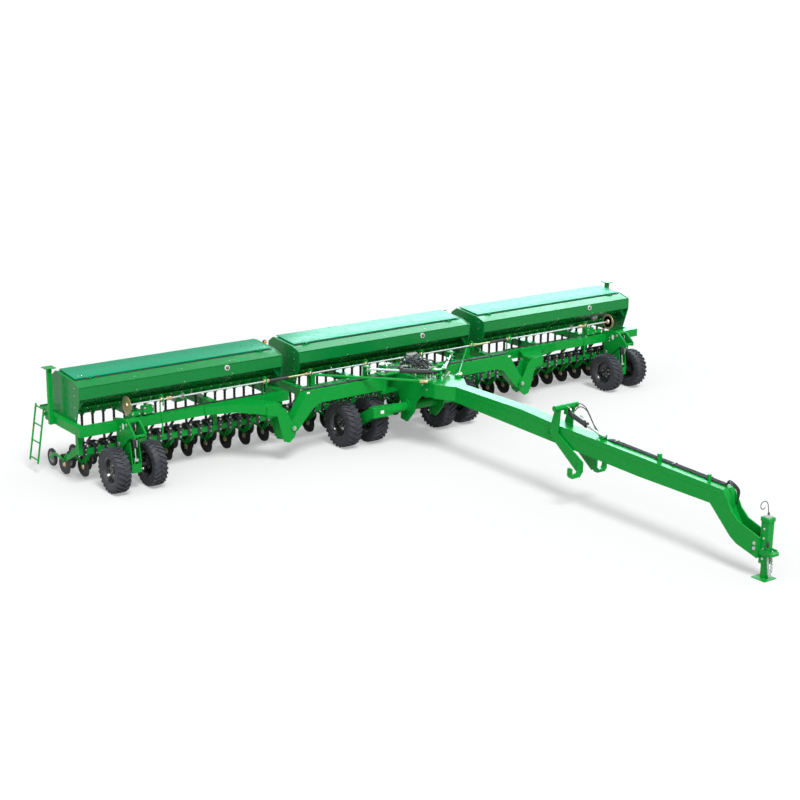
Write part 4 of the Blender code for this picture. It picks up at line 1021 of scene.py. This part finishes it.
for hand, side in SIDES:
    arm_hoses = bmesh.new()
    for i in range(3):
        y = -0.235 + i * 0.026
        points = [(side * 0.62, y, 1.205), (side * 1.1, y, 1.204), (side * 1.6, y, 1.204),
            (side * 2.05, y, 1.204), (side * 2.2, y + 0.01, 1.215), (side * 2.27, y + 0.05, 1.2)]
        tube(arm_hoses, smooth_path(points, 5), HOSE, 0, 8)
    for x in (0.85, 1.35, 1.85):
        block(arm_hoses, (side * x - 0.012, -0.262, 1.19), (side * x + 0.012, -0.158, 1.222), 1, 0.003)
    piece(f"arm_hoses_{hand}", arm_hoses, "fold_arm_" + hand, [hose_rubber, black_plastic])

    # the loop that goes round the fold pivot, from the manifold to the arm
    loop = bmesh.new()
    for i in range(3):
        y = -0.235 + i * 0.026
        points = [(side * 0.18, y - 0.14, 1.3), (side * 0.3, y - 0.1, 1.345), (side * 0.45, y - 0.03, 1.33),
            (side * 0.56, y, 1.25), (side * 0.66, y, 1.205)]
        tube(loop, smooth_path(points, 6), HOSE, 0, 8)
    made = piece(f"fold_loop_{hand}", loop, None, [hose_rubber])
    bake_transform(made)

TONGUE_LINE = (
    (-1.66, 1.243), (-2.5, 1.247), (-3.3, 1.253), (-4.0, 1.216), (-4.6, 1.192), (-5.95, 1.163),
    (-6.9, 1.136), (-7.5, 1.118),
)
tongue_hoses = bmesh.new()
for i in range(4):
    x = 0.022 + i * 0.023
    points = [(x, -5.06, 1.16), (x, -5.16, 1.186)]
    points += [(x + 0.004 * sin(3 * y + i), y,
        1.182 - (-5.3 - y) * 0.0292 + HOSE + 0.002) for y in (-5.3, -5.95, -6.9, -7.5)]
    tube(tongue_hoses, smooth_path(points, 8), HOSE, 0, 8)
for y, z in ((-5.3, 1.181), (-6.5, 1.148), (-7.2, 1.127)):
    block(tongue_hoses, (0.004, y - 0.014, z - 0.004), (0.11, y + 0.014, z + 0.026), 1, 0.004)
    bolt(tongue_hoses, (0.057, y, z + 0.024), (0, 0, 1), 0.008, 2, 0.008)
for i in range(3):
    reach = 0.1 + 0.05 * i
    points = [(0.03 + 0.023 * i, -7.5, 1.128), (0.02, -7.56, 1.14 + reach * 0.3),
        (-0.01, -7.65, 1.13 + reach * 0.5),
        (0.0, -7.75 - 0.02 * i, 1.1 + reach * 0.2), (0.02, -7.76, 0.98), (0.03, -7.72, 0.9)]
    tube(tongue_hoses, smooth_path(points, 7), HOSE, 0, 8)
piece("tongue_hoses", tongue_hoses, "main_frame", [hose_rubber, black_plastic, zinc])

# two hoses loop from the carrier ram down to the tongue
carrier_hoses = bmesh.new()
for x, high in ((0.035, 0.0), (0.062, -0.055)):
    points = [(x, -4.36, 1.452), (x, -4.4, 1.56 + high), (x, -4.49, 1.604 + high), (x, -4.62, 1.57 + high),
        (x, -4.76, 1.413 + high), (x, -4.86, 1.27), (x, -4.95, 1.188)]
    tube(carrier_hoses, smooth_path(points, 6), 0.008, 0, 8)
    rod(carrier_hoses, (x, -4.95, 1.175), (x, -4.945, 1.215), 0.013, 1, 6)
made = piece("carrier_hoses", carrier_hoses, None, [hose_rubber, brass])
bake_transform(made)

# ---------------------------------------------------------------------------
# Pins, bolts and small plates on the steelwork: all bright zinc against green.
# Blank white decals stand where instruction plates are stuck.
# ---------------------------------------------------------------------------

HUB_SIDE = 0.331
TONGUE_SIDE = 0.121
FLEX_PIN_X = 2.54
FLEX_PIN_Z = 0.6
hub_bits = bmesh.new()
for lean in (-1, 1):
    bolt(hub_bits, (lean * 0.6, -0.2, 1.242), (0, 0, 1), 0.034, 0, 0.022)
    for y, z in ((-1.1, 1.1), (-0.98, 1.16), (0.1, 1.16), (0.1, 1.02)):
        bolt(hub_bits, (lean * HUB_SIDE, y, z), (lean, 0, 0), 0.016, 0, 0.016)
    rod(hub_bits, (lean * 0.345, -1.165, 1.262), (lean * 0.395, -1.118, 1.262), 0.027, 1, 12)
    rod(hub_bits, (lean * 0.395, -1.118, 1.262), (lean * 0.45, -1.06, 1.262), 0.031, 1, 6)
    bolt(hub_bits, (lean * 0.32, -1.15, 1.286), (0, 0, 1), 0.022, 0, 0.016)
    bolt(hub_bits, (lean * 1.73, 0.33, 1.286), (0, 0, 1), 0.022, 0, 0.016)
    rod(hub_bits, (lean * 0.09, -1.03, 1.4), (lean * 0.09, -1.03, 1.425), 0.03, 0, 12)
    # the clevis bolts through each cheek, the weld seam along the tongue, and the carrier's spare pin boss
    for z in (0.435, 0.509):
        bolt(hub_bits, (lean * TONGUE_SIDE, -8.225, z), (lean, 0, 0), 0.02, 0, 0.016)
    seam = [(lean * 0.1205, y, z - 0.075) for y, z in TONGUE_LINE]
    tube(hub_bits, smooth_path(seam, 6), 0.0045, 2, 6)
    turned(hub_bits, ((0.03, -0.01), (0.046, -0.01), (0.046, 0.035), (0.03, 0.035)),
        (lean * TONGUE_SIDE, -4.025, 1.054), (lean, 0, 0), 2, 24, True)
    bolt(hub_bits, (lean * TONGUE_SIDE, -4.1, 1.02), (lean, 0, 0), 0.014, 0, 0.012)
piece("hub_and_nose_bolts", hub_bits, "main_frame", [zinc, brass, frame_paint])

decals = bmesh.new()
block(decals, (-0.95, -0.6265, 0.655), (-0.88, -0.6255, 0.715), 0, 0.0003)
piece("rockshaft_decal", decals, "rockshaft", [white_plastic])

for hand, side in SIDES:
    arm_bits = bmesh.new()
    bolt(arm_bits, (side * 0.93, -0.2, 1.4), (0, 0, 1), 0.026, 0, 0.02)
    for y, way in ((-0.335, -1), (-0.065, 1)):
        rod(
            arm_bits, (side * FLEX_PIN_X, y, FLEX_PIN_Z),
            (side * FLEX_PIN_X, y + way * 0.01, FLEX_PIN_Z), 0.052, 2, 24, 0.048,
        )
        bolt(arm_bits, (side * FLEX_PIN_X, y + way * 0.009, FLEX_PIN_Z), (0, way, 0), 0.03, 0, 0.018)
    for lean_y, way in ((-0.3005, -1), (-0.0995, 1)):
        block(arm_bits, (side * 2.2, lean_y, 1.145), (side * 2.26, lean_y + way * 0.002, 1.175), 1, 0.0004)
    piece(f"arm_bolts_{hand}", arm_bits, "fold_arm_" + hand, [zinc, white_plastic, frame_paint])

    leg_bits = bmesh.new()
    for x in (-0.112, 0.112):
        bolt(leg_bits, (side * WING_LEG_X + x, 0.25, 0.7), (copysign(1, x), 0, 0), 0.03, 0, 0.018)
        bolt(leg_bits, (side * WING_LEG_X + x, -0.02, 1.08), (copysign(1, x), 0, 0), 0.022, 0, 0.014)
    for z in (0.94, 1.0):
        bolt(leg_bits, (side * WING_LEG_X - 0.112, 0.18, z), (-1, 0, 0), 0.013, 0, 0.012)
    block(
        leg_bits, (side * WING_LEG_X - 0.1125, 0.055, 0.985),
        (side * WING_LEG_X - 0.1115, 0.115, 1.075), 1, 0.0003,
    )
    # the hose along the top of the front beam, and its straps
    beam_hose = [(side * x, 0.4, 1.066 + 0.002 * sin(9 * x)) for x in (2.7, 3.2, 3.7, 4.2, 4.6)]
    tube(leg_bits, smooth_path(beam_hose, 6), HOSE, 2, 8)
    for x in (2.95, 3.65, 4.35):
        block(leg_bits, (side * x - 0.01, 0.384, 1.052), (side * x + 0.01, 0.416, 1.079), 2, 0.003)
    piece(f"wing_bolts_{hand}", leg_bits, "wing_" + hand, [zinc, white_plastic, hose_rubber])

# ---------------------------------------------------------------------------
# Hitch end: screw jack with its capped head, safety chain and the wire hose stand.
# The chain hangs from the clevis; the stand is one spring wire with a curled top.
# ---------------------------------------------------------------------------

JACK_Y = -8.335
hitch = bmesh.new()
green, black, bright, grey = range(4)
block(hitch, (-0.075, -8.415, 0.838), (0.075, -8.255, 0.905), green, 0.012)
rod(hitch, (0, JACK_Y, 0.904), (0, JACK_Y, 0.914), 0.056, grey, 24, 0.05)
block(hitch, (-0.11, -8.455, 0.5), (-0.072, -8.415, 0.59), black, 0.01)
for z in (0.3, 0.44, 0.6, 0.74):
    for lean in (-1, 1):
        bolt(hitch, (lean * 0.061, JACK_Y, z), (lean, 0, 0), 0.012, bright, 0.012)
wire = smooth_path(((0.085, -8.27, 0.6), (0.085, -8.27, 0.8), (0.08, -8.265, 0.96),
    (0.062, -8.255, 1.065), (0.018, -8.24, 1.1),
    (-0.032, -8.225, 1.075), (-0.04, -8.225, 1.015), (-0.005, -8.235, 0.985), (0.025, -8.245, 1.01)), 8)
tube(hitch, wire, 0.0062, black, 6)
coil(hitch, (0.085, -8.27, 0.84), (0.083, -8.268, 0.93), 0.014, 0.004, 7, black)
piece("jack_head", hitch, "main_frame", [frame_paint, black_plastic, chrome, grey_plastic])


def chain_link(work, middle, along, across, length, wide, wire_radius, slot):
    """One welded oval link."""
    along, across = Vector(along).normalized(), Vector(across).normalized()
    path = []
    for i in range(17):
        a = 2 * pi * i / 16
        path.append(Vector(middle) + along * (length / 2 * cos(a)) + across * (wide / 2 * sin(a)))
    tube(work, path, wire_radius, slot, 6)


chain = bmesh.new()
chain_path = smooth_path(((-0.045, -8.425, 0.42), (-0.055, -8.432, 0.3), (-0.04, -8.437, 0.18),
    (-0.01, -8.436, 0.065), (0.02, -8.436, 0.075), (0.03, -8.437, 0.2), (0.02, -8.432, 0.32),
    (0.03, -8.425, 0.42)), 5)
for i in range(len(chain_path) - 1):
    along = chain_path[i + 1] - chain_path[i]
    across = Vector((1, 0, 0)) if i % 2 else Vector((0, 1, 0))
    across = (across - along.normalized() * across.dot(along.normalized())).normalized()
    chain_link(chain, (chain_path[i] + chain_path[i + 1]) / 2, along, across, along.length * 1.45, 0.03,
        0.0055, 0)
made = piece("safety_chain", chain, None, [zinc])
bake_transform(made)

# ---------------------------------------------------------------------------
# Floor, light and camera: a plain white studio floor under a soft sky and a key
# light, with the drill seen from ahead and to its right.
# ---------------------------------------------------------------------------

# the floor is half grey with a glow that only shows in view, which keeps its shadows pale
FLOOR_GREY = 0.45
FLOOR_GLOW = 0.33
floor_work = bmesh.new()
bmesh.ops.create_grid(floor_work, x_segments=1, y_segments=1, size=400)
floor_mesh = bpy.data.meshes.new("floor")
floor_work.to_mesh(floor_mesh)
floor_work.free()
floor = bpy.data.objects.new("floor", floor_mesh)
floor.location = (0, 0, -0.002)
scene.collection.objects.link(floor)
floor_finish = bpy.data.materials.new("white floor")
floor_finish.use_nodes = True
floor_shader = floor_finish.node_tree.nodes["Principled BSDF"]
floor_shader.inputs["Base Color"].default_value = (FLOOR_GREY, FLOOR_GREY, FLOOR_GREY, 1)
floor_shader.inputs["Roughness"].default_value = 0.9
floor_shader.inputs["Specular IOR Level"].default_value = 0.0
floor_shader.inputs["Emission Color"].default_value = (1, 1, 1, 1)
seen = floor_finish.node_tree.nodes.new("ShaderNodeLightPath")
glow = floor_finish.node_tree.nodes.new("ShaderNodeMath")
glow.operation = "MULTIPLY"
glow.inputs[1].default_value = FLOOR_GLOW
floor_finish.node_tree.links.new(seen.outputs["Is Camera Ray"], glow.inputs[0])
floor_finish.node_tree.links.new(glow.outputs[0], floor_shader.inputs["Emission Strength"])
floor_mesh.materials.append(floor_finish)

SKY_STRENGTH = 0.6
sky = bpy.data.worlds.new("studio")
sky.use_nodes = True
sky.node_tree.nodes["Background"].inputs["Color"].default_value = (0.96, 0.98, 1.0, 1)
sky.node_tree.nodes["Background"].inputs["Strength"].default_value = SKY_STRENGTH
scene.world = sky
for sun_name, strength, softness, travel in (
    ("key", 3.2, 22, (0.15, 0.62, -0.92)), ("fill", 1.0, 90, (0.94, 0.19, -0.28)),
):
    sun_data = bpy.data.lights.new(sun_name, "SUN")
    sun_data.energy = strength
    sun_data.angle = radians(softness)
    sun = bpy.data.objects.new(sun_name, sun_data)
    sun.rotation_euler = Vector(travel).to_track_quat("-Z", "Y").to_euler()
    scene.collection.objects.link(sun)
# broad cyan sheets of light far behind, seen only as the bright sheen along folded panels and tops
for sheen_name, power, size, way in (
    ("panel_sheen", 2600, 16, Vector((0.58, 0.46, 0.66))),
    ("top_sheen", 3600, 14, Vector((0.584, 0.764, 0.275))),
):
    sheen_data = bpy.data.lights.new(sheen_name, "AREA")
    sheen_data.energy = power
    sheen_data.size = size
    sheen_data.color = (0.62, 1.0, 0.95)
    sheen = bpy.data.objects.new(sheen_name, sheen_data)
    sheen.location = Vector((0, -2, 1)) + way * 26
    sheen.rotation_euler = (-way).to_track_quat("-Z", "Y").to_euler()
    sheen.visible_diffuse = False
    scene.collection.objects.link(sheen)
scene.view_settings.view_transform = "Standard"

CAMERA_PLACE = Vector((-16.623, -21.667, 8.408))
CAMERA_YAW = radians(-37.396)
CAMERA_PITCH = radians(15.945)
CAMERA_ROLL = radians(0.908)
look = Vector((
    -sin(CAMERA_YAW) * cos(CAMERA_PITCH), cos(CAMERA_YAW) * cos(CAMERA_PITCH), -sin(CAMERA_PITCH),
))
level = Vector((cos(CAMERA_YAW), sin(CAMERA_YAW), 0))
upright = level.cross(look)
right_way = level * cos(CAMERA_ROLL) + upright * sin(CAMERA_ROLL)
up_way = upright * cos(CAMERA_ROLL) - level * sin(CAMERA_ROLL)
turn = Matrix((right_way, up_way, -look)).transposed().to_4x4()
camera_data = bpy.data.cameras.new("camera")
camera_data.lens = 71.58
camera_data.sensor_width = 36
camera_data.clip_end = 2000
camera = bpy.data.objects.new("camera", camera_data)
camera.matrix_world = Matrix.Translation(CAMERA_PLACE + zero) @ turn
scene.collection.objects.link(camera)
scene.camera = camera
